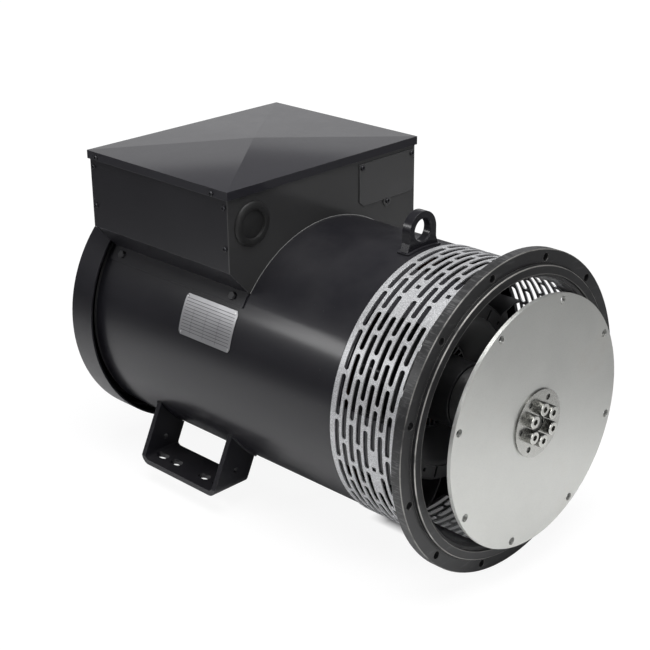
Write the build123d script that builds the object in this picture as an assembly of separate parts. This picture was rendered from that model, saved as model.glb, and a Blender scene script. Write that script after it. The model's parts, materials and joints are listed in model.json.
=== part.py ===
from build123d import *
import os
from math import cos, sin, radians

# Single-bearing synchronous alternator head with a rolled steel frame.
# Millimetres. +X runs along the shaft towards the drive end, +Z is up.
# The origin is the centre of the flange's mounting face, on the shaft axis.

# --- fits -------------------------------------------------------------------
SEAT = 0.3            # air between a piece and the curved face it sits on
FIT = 0.05            # radial clearance of turned parts held on one another
SHEET = 2.0           # folded sheet steel of the terminal box

# --- drive end: SAE no. 3 housing flange -------------------------------------
FLANGE_R = 225.4
FLANGE_T = 16.0
FLANGE_BORE_R = 188.0
FLANGE_PCR = 214.3
FLANGE_HOLES = 12
FLANGE_HOLE_R = 5.5
FLANGE_CLOCK = 15.0
SPIGOT_R = 204.8
SPIGOT_LIP = 12.0
SPIGOT_H = 6.0
RELIEF_W = 2.5
RELIEF_D = 0.6

# --- drive end: SAE no. 11.5 flexible discs ----------------------------------
DISC_FACE_X = 39.6
DISC_R = 176.2
DISC_PCR = 166.7
DISC_HOLES = 8
DISC_HOLE_R = 5.5
DISC_CLOCK = 30.0
DISC_SHEET = 0.95
DISC_COUNT = 6
DISC_PACK_X = DISC_FACE_X - DISC_COUNT * DISC_SHEET
CLAMP_R = 47.5
CLAMP_T = 2.5
CLAMP_BORE_R = 11.0
CLAMP_SCREW_PCR = 22.8
CLAMP_SPARE_PCR = 37.3
CLAMP_SCREWS = 6
CLAMP_HOLE_R = 5.3

# --- frame -------------------------------------------------------------------
FRAME_R = 194.0
FRAME_WALL = 6.0
FRAME_BORE_R = FRAME_R - FRAME_WALL
FRAME_REAR_X = -650.0
FRAME_FRONT_X = -FLANGE_T
WELD_LEG = 5.5
WINDOW_X0 = -138.0
WINDOW_X1 = -29.0
# elevation of each air window: its middle and its width, in degrees
WINDOWS = ((30.0, 41.0), (150.0, 41.0), (90.0, 32.0), (-36.0, 41.0), (-144.0, 41.0), (-90.0, 32.0))
LUG_R = FRAME_BORE_R - 17.0
LUG_X0 = -630.0
LUG_X1 = -604.0

# --- air screen --------------------------------------------------------------
SCREEN_X0 = -149.0
SCREEN_X1 = -22.5
SCREEN_IN_R = FRAME_R + SEAT
SCREEN_SHEET = 2.0
SLOT_FIRST_X = -136.8
SLOT_PITCH_X = 12.7
SLOT_COLUMNS = 9
SLOTS_ROUND = 20
SLOT_W = 8.0
SLOT_L = 56.0
SLOT_CLOCK = 165.6
# unslotted places: column and slot number, and how far round their square hole sits
BLANKS = {(3, 3): -5.6, (7, 3): -5.6, (5, 19): -1.8}

# --- feet --------------------------------------------------------------------
FOOT_X0 = -549.6
FOOT_X1 = -381.4
FOOT_MID_X = (FOOT_X0 + FOOT_X1) / 2
FOOT_Z = -196.0
FOOT_OUT_Y = 200.0
FOOT_IN_Y = 134.0
FOOT_PLATE = 8.0
FOOT_SLOT_Y = 175.0
FOOT_SLOT_L = 22.0
FOOT_SLOT_W = 14.0
FOOT_SLOTS = (-64.0, -32.0, 32.0, 64.0)

# --- lifting eye -------------------------------------------------------------
EYE_X = -170.0
EYE_T = 14.0
EYE_R = 27.0
EYE_Z = FRAME_R + 25.0
EYE_HOLE_R = 16.0

# --- terminal box ------------------------------------------------------------
LID_X0 = -646.6
LID_X1 = -342.5
LID_Y = 191.4
LID_EDGE_Z = 277.4
LID_LIP = 12.4
LID_RISE = 8.0
BOX_X0 = -644.0
BOX_X1 = -345.0
BOX_Y = 188.4
BOX_TOP_Z = LID_EDGE_Z - SHEET - SEAT
BEND_Z = 160.5
SKIRT_TOP_DEG = 38.5
SKIRT_END_DEG = 32.0
SKIRT_SCREW_DEG = 35.2
GROMMET_Y = -145.7
GROMMET_Z = 222.3
GROMMET_R = 32.0
GROMMET_HOLE_R = 27.0
COVER_Y0 = 67.0
COVER_Y1 = 186.0
COVER_Z0 = 195.5
COVER_Z1 = 259.4

# --- rear end ----------------------------------------------------------------
CAP_R = FRAME_R + 14.0
CAP_X0 = -706.0
CAP_X1 = -645.0
CAP_WALL = 3.0
CAP_ROUND = 14.0
CAP_POST_PCR = 150.0
SHIELD_RIM_X = -655.0
BEARING_X0 = -640.0
BEARING_X1 = -615.0
BEARING_R = 50.0
BEARING_BORE_R = 22.5
BALL_PCR = 36.0
BALL_R = 8.6
BALLS = 8

# --- electrical parts --------------------------------------------------------
CORE_X0 = -470.0
CORE_X1 = -250.0
CORE_R = FRAME_BORE_R - SEAT
CORE_BORE_R = 120.8
CORE_SLOTS = 48
ROTOR_R = 119.6
POLES = 4
POLE_W = 80.0
SHOE_Z = 96.3
ROTOR_SEAT_R = 35.0
EXCITER_X0 = -598.0
EXCITER_X1 = -552.0
EXCITER_GAP_R = 90.0
EXCITER_OUT_R = 130.0
EXCITER_SEAT_R = 30.0
FAN_X0 = -142.0
FAN_X1 = -72.0
FAN_R = FRAME_BORE_R - 16.0
FAN_SEAT_R = 40.0
FAN_BLADES = 18
DIODES_X = -657.0


def turned(*points):
    """Solid of revolution about the shaft axis from (x, radius) points."""
    return revolve(make_face(Polyline(*points, close=True)), Axis.X, 360)


def tube(x0, x1, r_out, r_in=0.0):
    """Plain ring or disc about the shaft axis."""
    ring = Circle(r_out)
    if r_in > 0:
        ring -= Circle(r_in)
    return extrude(Plane.YZ.offset(x0) * ring, x1 - x0)


def plate_yz(sketch, x0, x1):
    """Flat plate across the shaft from a sketch drawn in (y, z)."""
    return extrude(Plane.YZ.offset(x0) * sketch, x1 - x0)


def block(x0, x1, y0, y1, z0, z1):
    """Box between two corners."""
    middle = Pos((x0 + x1) / 2, (y0 + y1) / 2, (z0 + z1) / 2)
    return middle * Box(x1 - x0, y1 - y0, z1 - z0)


def around(piece, count, start=0.0):
    """Copies of a piece turned about the shaft axis."""
    return [Rot(X=start + 360 * k / count) * piece for k in range(count)]


def on_ring(x, r, angle):
    """Place on a circle about the shaft axis, local +Z along the shaft."""
    return Pos(x, r * cos(radians(angle)), r * sin(radians(angle))) * Rot(Y=90)


def screw(radius, length, head_r, head_h, hexagon=False):
    """Screw along +Z with its head above z = 0."""
    shank = Pos(0, 0, -length / 2) * Cylinder(radius, length)
    outline = RegularPolygon(head_r, 6) if hexagon else Circle(head_r)
    return shank + extrude(outline, head_h)


def socket_screw(radius, length, head_r, head_h, key_r):
    """Socket cap screw along +Z with a six-sided key hole."""
    body = screw(radius, length, head_r, head_h)
    key = Pos(0, 0, head_h * 0.45) * extrude(RegularPolygon(key_r, 6), head_h)
    return body - key


def save(shape, name):
    """Write one node; a list becomes a group of separate solids."""
    if isinstance(shape, list):
        shape = Compound(children=shape)
    export_step(shape, "parts/" + name + ".step")


# --- welded structure ----------------------------------------------------------
def adaptor_ring():
    """Bolting flange with its proud locating lip."""
    ring = turned(
        (-FLANGE_T, FLANGE_BORE_R), (-FLANGE_T, FLANGE_R - 1), (-FLANGE_T + 1, FLANGE_R),
        (-1, FLANGE_R), (0, FLANGE_R - 1), (0, SPIGOT_R + RELIEF_W), (-RELIEF_D, SPIGOT_R + RELIEF_W),
        (-RELIEF_D, SPIGOT_R), (SPIGOT_H - 1, SPIGOT_R), (SPIGOT_H, SPIGOT_R - 1),
        (SPIGOT_H, SPIGOT_R - SPIGOT_LIP), (2, SPIGOT_R - SPIGOT_LIP - 1), (0, FLANGE_BORE_R))
    for k in range(FLANGE_HOLES):
        hole = on_ring(-FLANGE_T / 2, FLANGE_PCR, FLANGE_CLOCK + 360 * k / FLANGE_HOLES)
        ring -= hole * Cylinder(FLANGE_HOLE_R, 2 * FLANGE_T)
    return ring


def frame_shell():
    """Rolled tube with air windows, weld fillet, cable opening and bolt lugs."""
    shell = turned(
        (FRAME_REAR_X, FRAME_BORE_R), (FRAME_REAR_X, FRAME_R), (FRAME_FRONT_X - WELD_LEG, FRAME_R),
        (FRAME_FRONT_X, FRAME_R + WELD_LEG), (FRAME_FRONT_X, FRAME_BORE_R))
    cut_in = FRAME_BORE_R - 38
    cut_out = FRAME_R + 16
    for middle, width in WINDOWS:
        wedge = make_face(Polyline((WINDOW_X0, cut_in), (WINDOW_X1, cut_in), (WINDOW_X1, cut_out),
                                   (WINDOW_X0, cut_out), close=True))
        shell -= Rot(X=middle - width / 2) * revolve(wedge, Axis.X, width)
    shell -= block(-430, -360, -40, 40, cut_in, cut_out)
    lug = block(LUG_X0, LUG_X1, LUG_R - 13, FRAME_R + 6, -14, 14) & tube(LUG_X0, LUG_X1, FRAME_BORE_R + 1, 100)
    lug -= on_ring((LUG_X0 + LUG_X1) / 2, LUG_R, 0) * Cylinder(4.2, 40)
    for copy in around(lug, 4, 45):
        shell += copy
    return shell


def slot_cutter():
    """Round-ended prism that points outwards from the shaft axis."""
    outline = SlotOverall(SLOT_L, SLOT_W, rotation=90)
    return Plane.XY.offset(SCREEN_IN_R - 12) * extrude(outline, 30)


def air_screen():
    """Slotted band over the air windows, alternate columns staggered."""
    band = tube(SCREEN_X0, SCREEN_X1, SCREEN_IN_R + SCREEN_SHEET, SCREEN_IN_R)
    cutter = slot_cutter()
    square = Plane.XY.offset(SCREEN_IN_R - 12) * extrude(Rectangle(7, 7), 30)
    step = 360 / SLOTS_ROUND
    cuts = []
    for column in range(SLOT_COLUMNS):
        x = SLOT_FIRST_X + column * SLOT_PITCH_X
        shift = SLOT_CLOCK + (column % 2) * step / 2
        for k in range(SLOTS_ROUND):
            angle = shift - step * k - 90
            tool = cutter
            if (column, k) in BLANKS:
                tool = square
                angle += BLANKS[(column, k)]
            cuts.append(Rot(X=angle) * Pos(x, 0, 0) * tool)
    return band.cut(*cuts)


def lifting_eye():
    """Flat eye with a round top, shaped to stand on the frame."""
    low = FRAME_R - 24
    outline = Pos(0, EYE_Z) * Circle(EYE_R) + Pos(0, (EYE_Z + low) / 2) * Rectangle(2 * EYE_R, EYE_Z - low)
    flare = make_face(Polyline(
        (-EYE_R, FRAME_R + 11), (EYE_R, FRAME_R + 11), (EYE_R + 7, FRAME_R - 8), (-EYE_R - 7, FRAME_R - 8),
        close=True))
    eye = plate_yz(outline + flare, EYE_X - EYE_T / 2, EYE_X + EYE_T / 2)
    eye -= Pos(EYE_X, 0, EYE_Z) * Rot(Y=90) * Cylinder(EYE_HOLE_R, 40)
    eye = chamfer(eye.edges().filter_by(GeomType.CIRCLE).group_by(SortBy.RADIUS)[0], 1.5)
    return eye - tube(EYE_X - 20, EYE_X + 20, FRAME_R + SEAT)


def foot():
    """Bent channel foot on the +Y side, cut to the frame's curve."""
    outer = make_face(Polyline((FOOT_X0, -90), (FOOT_X0, FOOT_Z), (FOOT_X1, FOOT_Z), (FOOT_X1, -90), close=True))
    outer = fillet(outer.vertices().group_by(Axis.Y)[0], 15)
    inner = make_face(Polyline(
        (FOOT_X0 + FOOT_PLATE, -80), (FOOT_X0 + FOOT_PLATE, FOOT_Z + FOOT_PLATE),
        (FOOT_X1 - FOOT_PLATE, FOOT_Z + FOOT_PLATE), (FOOT_X1 - FOOT_PLATE, -80), close=True))
    inner = fillet(inner.vertices().group_by(Axis.Y)[0], 15 - FOOT_PLATE)
    channel = extrude(Plane.XZ.offset(-FOOT_OUT_Y) * (outer - inner), FOOT_OUT_Y - 90)
    side = make_face(Polyline(
        (FOOT_IN_Y, FOOT_Z), (FOOT_OUT_Y, FOOT_Z), (FOOT_OUT_Y, FOOT_Z + 12), (162, -104),
        (118, -104), (118, -150), (FOOT_IN_Y, FOOT_Z + 12), close=True))
    channel &= plate_yz(side, FOOT_X0, FOOT_X1)
    channel -= tube(FOOT_X0 - 1, FOOT_X1 + 1, FRAME_R + SEAT)
    for offset in FOOT_SLOTS:
        slot = extrude(SlotOverall(FOOT_SLOT_L, FOOT_SLOT_W), 20)
        channel -= Pos(FOOT_MID_X + offset, FOOT_SLOT_Y, FOOT_Z - 5) * slot
    for x in (FOOT_X0, FOOT_X1):
        channel -= Pos(x, 158, -165) * Rot(Y=90) * Cylinder(4, 30)
    return channel


# --- terminal box ----------------------------------------------------------------
def box_end_outline():
    """Outline of the box's end panels: straight sides, slanted lower corners."""
    low = radians(SKIRT_TOP_DEG)
    reach = FRAME_R + SEAT + SHEET
    corner = (reach * cos(low), reach * sin(low))
    face = make_face(Polyline(
        (-BOX_Y, BOX_TOP_Z), (-BOX_Y, BEND_Z), (-corner[0], corner[1]), (0, corner[1] - 20),
        corner, (BOX_Y, BEND_Z), (BOX_Y, BOX_TOP_Z), close=True))
    return face - Circle(FRAME_R + SEAT)


def panel_flanges(x_face, depth):
    """Inward flanges along both upright edges of an end panel."""
    x_far = x_face + depth
    x0 = min(x_face, x_far)
    x1 = max(x_face, x_far)
    y0 = BOX_Y - 2 * SHEET
    y1 = BOX_Y - SHEET
    return (block(x0, x1, y0, y1, BEND_Z + 26, BOX_TOP_Z - 6)
            + block(x0, x1, -y1, -y0, BEND_Z + 26, BOX_TOP_Z - 6))


def box_front_panel():
    """End panel with the cable hole and the opening for the regulator."""
    panel = plate_yz(box_end_outline(), BOX_X1 - SHEET, BOX_X1)
    panel += panel_flanges(BOX_X1 - SHEET, -12)
    panel -= Pos(BOX_X1, GROMMET_Y, GROMMET_Z) * Rot(Y=90) * Cylinder(GROMMET_HOLE_R, 10)
    return panel - block(BOX_X1 - 8, BOX_X1 + 5, COVER_Y0 + 14, COVER_Y1 - 14, COVER_Z0 + 13, COVER_Z1 - 12)


def box_rear_panel():
    """Plain end panel above the rear cap."""
    panel = plate_yz(box_end_outline(), BOX_X0, BOX_X0 + SHEET)
    return panel + panel_flanges(BOX_X0 + SHEET, 12)


def box_side_panel():
    """Flat side panel on the +Y side."""
    return block(BOX_X0 + SHEET, BOX_X1 - SHEET, BOX_Y - SHEET, BOX_Y, BEND_Z, BOX_TOP_Z)


def box_skirt():
    """Bent skirt on the +Y side that brings the box down to the frame."""
    r_in = FRAME_R + SEAT
    r_out = r_in + SHEET
    high = radians(SKIRT_TOP_DEG)
    high_in = radians(SKIRT_TOP_DEG + 1.1)
    low = radians(SKIRT_END_DEG)
    mid = radians((SKIRT_TOP_DEG + SKIRT_END_DEG) / 2)
    y1 = BOX_Y - SHEET
    y0 = y1 - SHEET
    out_top = (r_out * cos(high), r_out * sin(high))
    out_low = (r_out * cos(low), r_out * sin(low))
    in_low = (r_in * cos(low), r_in * sin(low))
    in_top = (r_in * cos(high_in), r_in * sin(high_in))
    edge = Polyline((y0, BEND_Z + 1), (y0, BEND_Z + 20), (y1, BEND_Z + 20), (y1, BEND_Z - 0.5), out_top)
    edge += ThreePointArc(out_top, (r_out * cos(mid), r_out * sin(mid)), out_low)
    edge += Line(out_low, in_low)
    edge += ThreePointArc(in_low, (r_in * cos(mid), r_in * sin(mid)), in_top)
    edge += Line(in_top, (y0, BEND_Z + 1))
    return plate_yz(make_face(edge), BOX_X0 + SHEET, BOX_X1 - SHEET)


def hip_solid(inset, drop):
    """Solid lid volume: upright lip below a four-sided roof."""
    long_x = LID_X1 - LID_X0 - 2 * inset
    long_y = 2 * (LID_Y - inset)
    middle = Pos((LID_X0 + LID_X1) / 2, 0, 0)
    lip = middle * Pos(0, 0, LID_EDGE_Z - LID_LIP - drop) * extrude(Rectangle(long_x, long_y), LID_LIP)
    base = middle * Pos(0, 0, LID_EDGE_Z - drop) * Rectangle(long_x, long_y)
    peak = middle * Pos(0, 0, LID_EDGE_Z + LID_RISE - drop) * Rectangle(2, 2)
    return lip + loft([base, peak])


def box_lid():
    """Sheet lid with a folded lip and a shallow hip roof."""
    return hip_solid(0, 0) - hip_solid(SHEET, SHEET)


def lid_screws():
    """Screws through the lid's side lips."""
    piece = screw(2.5, 6, 5, 3, True)
    places = []
    for x in (-626.0, -374.0):
        places.append(Pos(x, LID_Y, 269.5) * Rot(X=-90) * piece)
        places.append(Pos(x, -LID_Y, 269.5) * Rot(X=90) * piece)
    return places


def panel_screws():
    """Screws that hold the side panels to the end panels' flanges."""
    piece = screw(2.0, 5, 4, 2.2)
    places = []
    for x in (BOX_X0 + 8, BOX_X1 - 8):
        for z in (BEND_Z + 34, BOX_TOP_Z - 22):
            places.append(Pos(x, BOX_Y, z) * Rot(X=-90) * piece)
            places.append(Pos(x, -BOX_Y, z) * Rot(X=90) * piece)
    return places


def skirt_screws():
    """Screws through the skirt strips into the frame."""
    piece = screw(3.0, 6, 6, 4, True)
    reach = FRAME_R + SEAT + SHEET + 0.1
    places = []
    for x in (-619.0, -372.5):
        for angle in (SKIRT_SCREW_DEG, 180 - SKIRT_SCREW_DEG):
            places.append(Rot(X=angle - 90) * Pos(x, 0, reach) * piece)
    return places


def regulator_cover():
    """Flat cover with a tab for its lower screw."""
    outline = make_face(Polyline(
        (COVER_Y0, COVER_Z1), (COVER_Y0, COVER_Z0 + 6), (COVER_Y0 + 8, COVER_Z0),
        (COVER_Y1 - 8, COVER_Z0), (COVER_Y1, COVER_Z0 + 6), (COVER_Y1, COVER_Z1), close=True))
    outline += Pos(126.9, COVER_Z0 - 4) * Circle(8)
    cover = plate_yz(outline, BOX_X1, BOX_X1 + 1.5)
    for y, z in COVER_SCREWS:
        cover -= Pos(BOX_X1, y, z) * Rot(Y=90) * Cylinder(2.3, 10)
    return cover


COVER_SCREWS = ((COVER_Y0 + 6, COVER_Z1 - 6), (COVER_Y1 - 6, COVER_Z1 - 6), (126.9, COVER_Z0 - 4))


def cover_screws():
    """Screws of the regulator cover."""
    piece = screw(2.0, 3.3, 4, 2.4)
    return [Pos(BOX_X1 + 1.5, y, z) * Rot(Y=90) * piece for y, z in COVER_SCREWS]


def cable_grommet():
    """Blind rubber grommet that closes the cable hole."""
    x0 = BOX_X1 - SHEET
    half = make_face(Polyline(
        (x0 - 3, 0), (x0 - 3, GROMMET_HOLE_R + 2.5), (x0, GROMMET_HOLE_R + 2.5), (x0, GROMMET_HOLE_R - SEAT),
        (BOX_X1, GROMMET_HOLE_R - SEAT), (BOX_X1, GROMMET_R - 1), (BOX_X1 + 2, GROMMET_R),
        (BOX_X1 + 5, GROMMET_R - 3), (BOX_X1 + 6, GROMMET_R - 6), (BOX_X1 + 4, GROMMET_R - 8),
        (BOX_X1 + 4.5, 18), (BOX_X1 + 6, 8), (BOX_X1 + 6, 0), close=True))
    return Pos(0, GROMMET_Y, GROMMET_Z) * revolve(half, Axis.X, 360)


def terminal_board():
    """Terminal board on two posts that stand on the frame."""
    board = block(-560, -440, -45, 45, 216, 228)
    for x in (-552, -456):
        board += block(x, x + 8, -40, 40, 180, 217)
    board -= tube(-570, -430, FRAME_R + SEAT)
    for x, y in STUDS:
        board -= Pos(x, y, 222) * Cylinder(4.05, 40)
    return board


STUDS = tuple((-540 + 27 * i, y) for i in range(4) for y in (-25, 25))


def terminal_studs():
    """Brass studs with their nuts."""
    stud = Pos(0, 0, 232) * Cylinder(4, 36)
    stud += Pos(0, 0, 228) * extrude(RegularPolygon(8, 6), 6)
    return [Pos(x, y, 0) * stud for x, y in STUDS]


def voltage_regulator():
    """Potted regulator behind its cover."""
    body = block(BOX_X1 - SHEET - 32, BOX_X1 - SHEET, COVER_Y0 + 4, COVER_Y1 - 7, COVER_Z0 + 3, COVER_Z1 - 2)
    for k in range(5):
        y = COVER_Y0 + 16 + 20 * k
        body -= block(BOX_X1 - 40, BOX_X1 - SHEET - 20, y, y + 8, COVER_Z0, COVER_Z1)
    return body


def rating_plate():
    """Thin plate that follows the frame's curve."""
    wall = make_face(Polyline(
        (-459.5, FRAME_R + SEAT), (-351.0, FRAME_R + SEAT), (-351.0, FRAME_R + SEAT + 0.8),
        (-459.5, FRAME_R + SEAT + 0.8), close=True))
    return Rot(X=180 - 30.2) * revolve(wall, Axis.X, 17.8)


# --- rear end ----------------------------------------------------------------------
def rear_cap():
    """Dished cap that leaves a ring of air round the frame's end."""
    r = CAP_R
    t = CAP_WALL
    x0 = CAP_X0
    edge = Polyline((x0, 0), (x0, r - CAP_ROUND))
    edge += RadiusArc((x0, r - CAP_ROUND), (x0 + CAP_ROUND, r), -CAP_ROUND, short_sagitta=True)
    edge += Polyline((x0 + CAP_ROUND, r), (CAP_X1, r), (CAP_X1, r - t), (x0 + CAP_ROUND, r - t))
    edge += RadiusArc((x0 + CAP_ROUND, r - t), (x0 + t, r - CAP_ROUND), CAP_ROUND - t, short_sagitta=True)
    edge += Polyline((x0 + t, r - CAP_ROUND), (x0 + t, 0), (x0, 0))
    cap = revolve(make_face(edge), Axis.X, 360)
    vent = plate_yz(Pos(0, 100) * SlotOverall(64, 9, rotation=90), x0 - 5, x0 + 10)
    for copy in around(vent, 20):
        cap -= copy
    for k in range(4):
        cap -= on_ring(x0, CAP_POST_PCR, 45 + 90 * k) * Cylinder(4.3, 20)
    return cap


def cap_bolts():
    """Bolts through the rear cap into the end shield's posts."""
    piece = screw(4, 24, 7.5, 5, True)
    return [Pos(CAP_X0, CAP_POST_PCR * cos(radians(45 + 90 * k)), CAP_POST_PCR * sin(radians(45 + 90 * k)))
            * Rot(Y=-90) * piece for k in range(4)]


def end_shield():
    """Cast end shield: rim, arms, bearing housing, exciter barrel and cap posts."""
    rim_in = FRAME_BORE_R - 12
    rim = turned(
        (SHIELD_RIM_X, rim_in), (SHIELD_RIM_X, FRAME_R), (FRAME_REAR_X, FRAME_R),
        (FRAME_REAR_X, FRAME_BORE_R - SEAT), (LUG_X0 - 2, FRAME_BORE_R - SEAT), (LUG_X0 - 2, rim_in))
    housing = turned(
        (BEARING_X0 - 8, BEARING_R - 6), (BEARING_X0 - 8, 64), (BEARING_X1, 64), (BEARING_X1, BEARING_R + FIT),
        (BEARING_X0, BEARING_R + FIT), (BEARING_X0, BEARING_R - 6))
    barrel = turned(
        (EXCITER_X0 - 16, EXCITER_OUT_R - 8), (EXCITER_X0 - 16, EXCITER_OUT_R + 7),
        (EXCITER_X1 - 4, EXCITER_OUT_R + 7), (EXCITER_X1 - 4, EXCITER_OUT_R + FIT),
        (EXCITER_X0, EXCITER_OUT_R + FIT), (EXCITER_X0, EXCITER_OUT_R - 8))
    profile = make_face(Polyline(
        (FRAME_REAR_X, 62), (FRAME_REAR_X, rim_in + 2), (LUG_X0 - 2, rim_in + 2), (LUG_X0 - 2, 152), (-604, 134),
        (-612, 124), (-618, 62), close=True))
    arms = around(extrude(profile, 9, both=True), 8)
    shield = rim.fuse(housing, barrel, *arms)
    post_x = CAP_X0 + CAP_WALL
    post = Pos((post_x + BEARING_X0) / 2, CAP_POST_PCR, 0) * Rot(Y=90) * Cylinder(10, BEARING_X0 - post_x)
    boss = on_ring(LUG_X0 - 10, LUG_R, 0) * Cylinder(10.5, 20)
    for copy in around(post + boss, 4, 45):
        shield += copy
    for k in range(4):
        angle = 45 + 90 * k
        shield -= on_ring(post_x + 10, CAP_POST_PCR, angle) * Cylinder(4.1, 30)
        shield -= on_ring(LUG_X0 - 10, LUG_R, angle) * Cylinder(4.3, 40)
        shield -= on_ring(FRAME_REAR_X - 5, LUG_R, angle) * Cylinder(9, 10)
    return shield


def shield_bolts():
    """Bolts through the end shield into the frame's lugs."""
    piece = screw(4, 40, 7.5, 5, True)
    return [Pos(LUG_X0 - 20, LUG_R * cos(radians(45 + 90 * k)), LUG_R * sin(radians(45 + 90 * k)))
            * Rot(Y=-90) * piece for k in range(4)]


def race_groove(gap):
    """Ring-shaped groove that the balls run in."""
    middle = (BEARING_X0 + BEARING_X1) / 2
    return Pos(middle, 0, 0) * Rot(Y=90) * Torus(BALL_PCR, BALL_R + gap)


def bearing_outer_ring():
    """Outer ring of the ball bearing."""
    return tube(BEARING_X0, BEARING_X1, BEARING_R, 42.5) - race_groove(SEAT)


def bearing_inner_ring():
    """Inner ring of the ball bearing."""
    return tube(BEARING_X0, BEARING_X1, 29.5, BEARING_BORE_R + FIT) - race_groove(SEAT)


def ball_places(radius):
    """Spheres on the bearing's pitch circle."""
    middle = (BEARING_X0 + BEARING_X1) / 2
    return around(Pos(middle, 0, BALL_PCR) * Sphere(radius), BALLS)


def bearing_cage():
    """Cage ring with a pocket for each ball."""
    middle = (BEARING_X0 + BEARING_X1) / 2
    ring = tube(middle - 7, middle + 7, 38.5, 33.5)
    for ball in ball_places(BALL_R + SEAT):
        ring -= ball
    return ring


# --- stator and rotor ----------------------------------------------------------------
def stator_core():
    """Laminated ring with open slots."""
    face = Circle(CORE_R) - Circle(CORE_BORE_R)
    slot = Pos(CORE_BORE_R + 12, 0) * Rectangle(30, 6)
    for k in range(CORE_SLOTS):
        face -= Rot(Z=360 * k / CORE_SLOTS) * slot
    return plate_yz(face, CORE_X0, CORE_X1)


def end_winding(x_core, direction):
    """Laced end turns beside the stator core."""
    far = x_core + 58 * direction
    near = x_core
    return turned(
        (near, 128), (near, 150), (near + 18 * direction, 168), (far - 16 * direction, 176),
        (far, 166), (far, 142), (far - 14 * direction, 130))


def exciter_stator():
    """Exciter field ring in the end shield's barrel."""
    face = Circle(EXCITER_OUT_R) - Circle(EXCITER_GAP_R)
    slot = Pos(EXCITER_GAP_R + 14, 0) * Rectangle(22, 20)
    for k in range(8):
        face -= Rot(Z=360 * k / 8 + 22.5) * slot
    return plate_yz(face, EXCITER_X0, EXCITER_X1 - 4)


def rotor_core():
    """Four-pole core: crossed pole bodies with round shoes."""
    face = Rectangle(POLE_W, 2 * SHOE_Z + 4) + Rectangle(2 * SHOE_Z + 4, POLE_W) + Circle(52)
    cap = Circle(ROTOR_R) & (Pos(0, SHOE_Z + 30) * Rectangle(200, 60))
    for k in range(POLES):
        face += Rot(Z=90 * k) * cap
    face -= Circle(ROTOR_SEAT_R + FIT)
    return plate_yz(face, CORE_X0, CORE_X1)


def field_coil():
    """Coil round one pole, mitred against its neighbours."""
    over = 26
    height = SHOE_Z - 0.5
    coil = block(CORE_X0 - over, CORE_X1 + over, -POLE_W / 2 - 22, POLE_W / 2 + 22, 54, height)
    coil = fillet(coil.edges().filter_by(Axis.Z), 16)
    coil -= block(CORE_X0 - 0.5, CORE_X1 + 0.5, -POLE_W / 2 - 0.5, POLE_W / 2 + 0.5, 40, 110)
    mitre = make_face(Polyline((0, 2), (100, 102), (-100, 102), close=True))
    return coil & plate_yz(mitre, CORE_X0 - 50, CORE_X1 + 50)


def shaft():
    """Stepped shaft with the coupling hub at the drive end."""
    body = turned(
        (-674, 0), (-674, 18.5), (-672.5, 20), (BEARING_X0 - 2, 20), (BEARING_X0 - 2, BEARING_BORE_R),
        (BEARING_X1, BEARING_BORE_R), (BEARING_X1, 28), (EXCITER_X0 - 2, 28),
        (EXCITER_X0 - 2, EXCITER_SEAT_R), (EXCITER_X1 + 4, EXCITER_SEAT_R), (EXCITER_X1 + 4, 33),
        (CORE_X0 - 6, 33), (CORE_X0 - 6, ROTOR_SEAT_R), (CORE_X1, ROTOR_SEAT_R), (CORE_X1, 38),
        (FAN_X0, 38), (FAN_X0, FAN_SEAT_R), (FAN_X1, FAN_SEAT_R), (FAN_X1, 46), (-6, 46), (6, 60),
        (DISC_PACK_X, 60), (DISC_PACK_X, 8), (DISC_PACK_X - 40, 8), (DISC_PACK_X - 45, 0))
    for k in range(CLAMP_SCREWS):
        hole = on_ring(DISC_PACK_X - 12, CLAMP_SCREW_PCR, 30 + 60 * k)
        body -= hole * Cylinder(CLAMP_HOLE_R, 26)
    return body


def coupling_discs():
    """Pack of flexible coupling discs."""
    sheets = []
    sheet = tube(DISC_PACK_X, DISC_PACK_X + DISC_SHEET, DISC_R, CLAMP_BORE_R)
    for k in range(DISC_HOLES):
        sheet -= on_ring(DISC_PACK_X, DISC_PCR, DISC_CLOCK + 45 * k) * Cylinder(DISC_HOLE_R, 4)
    for k in range(CLAMP_SCREWS):
        sheet -= on_ring(DISC_PACK_X, CLAMP_SCREW_PCR, 30 + 60 * k) * Cylinder(CLAMP_HOLE_R, 4)
        sheet -= on_ring(DISC_PACK_X, CLAMP_SPARE_PCR, 60 * k) * Cylinder(4.2, 4)
    for k in range(DISC_COUNT):
        sheets.append(Pos(k * DISC_SHEET, 0, 0) * sheet)
    return sheets


def clamp_ring():
    """Ring that clamps the discs to the shaft hub."""
    ring = tube(DISC_FACE_X, DISC_FACE_X + CLAMP_T, CLAMP_R, CLAMP_BORE_R)
    for k in range(CLAMP_SCREWS):
        ring -= on_ring(DISC_FACE_X, CLAMP_SCREW_PCR, 30 + 60 * k) * Cylinder(CLAMP_HOLE_R, 10)
        ring -= on_ring(DISC_FACE_X, CLAMP_SPARE_PCR, 60 * k) * Cylinder(4.2, 10)
    return ring


def coupling_screws():
    """Socket cap screws of the clamp ring."""
    piece = socket_screw(5, 32, 8, 10, 4.6)
    return [on_ring(DISC_FACE_X + CLAMP_T, CLAMP_SCREW_PCR, 30 + 60 * k) * piece for k in range(CLAMP_SCREWS)]


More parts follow.
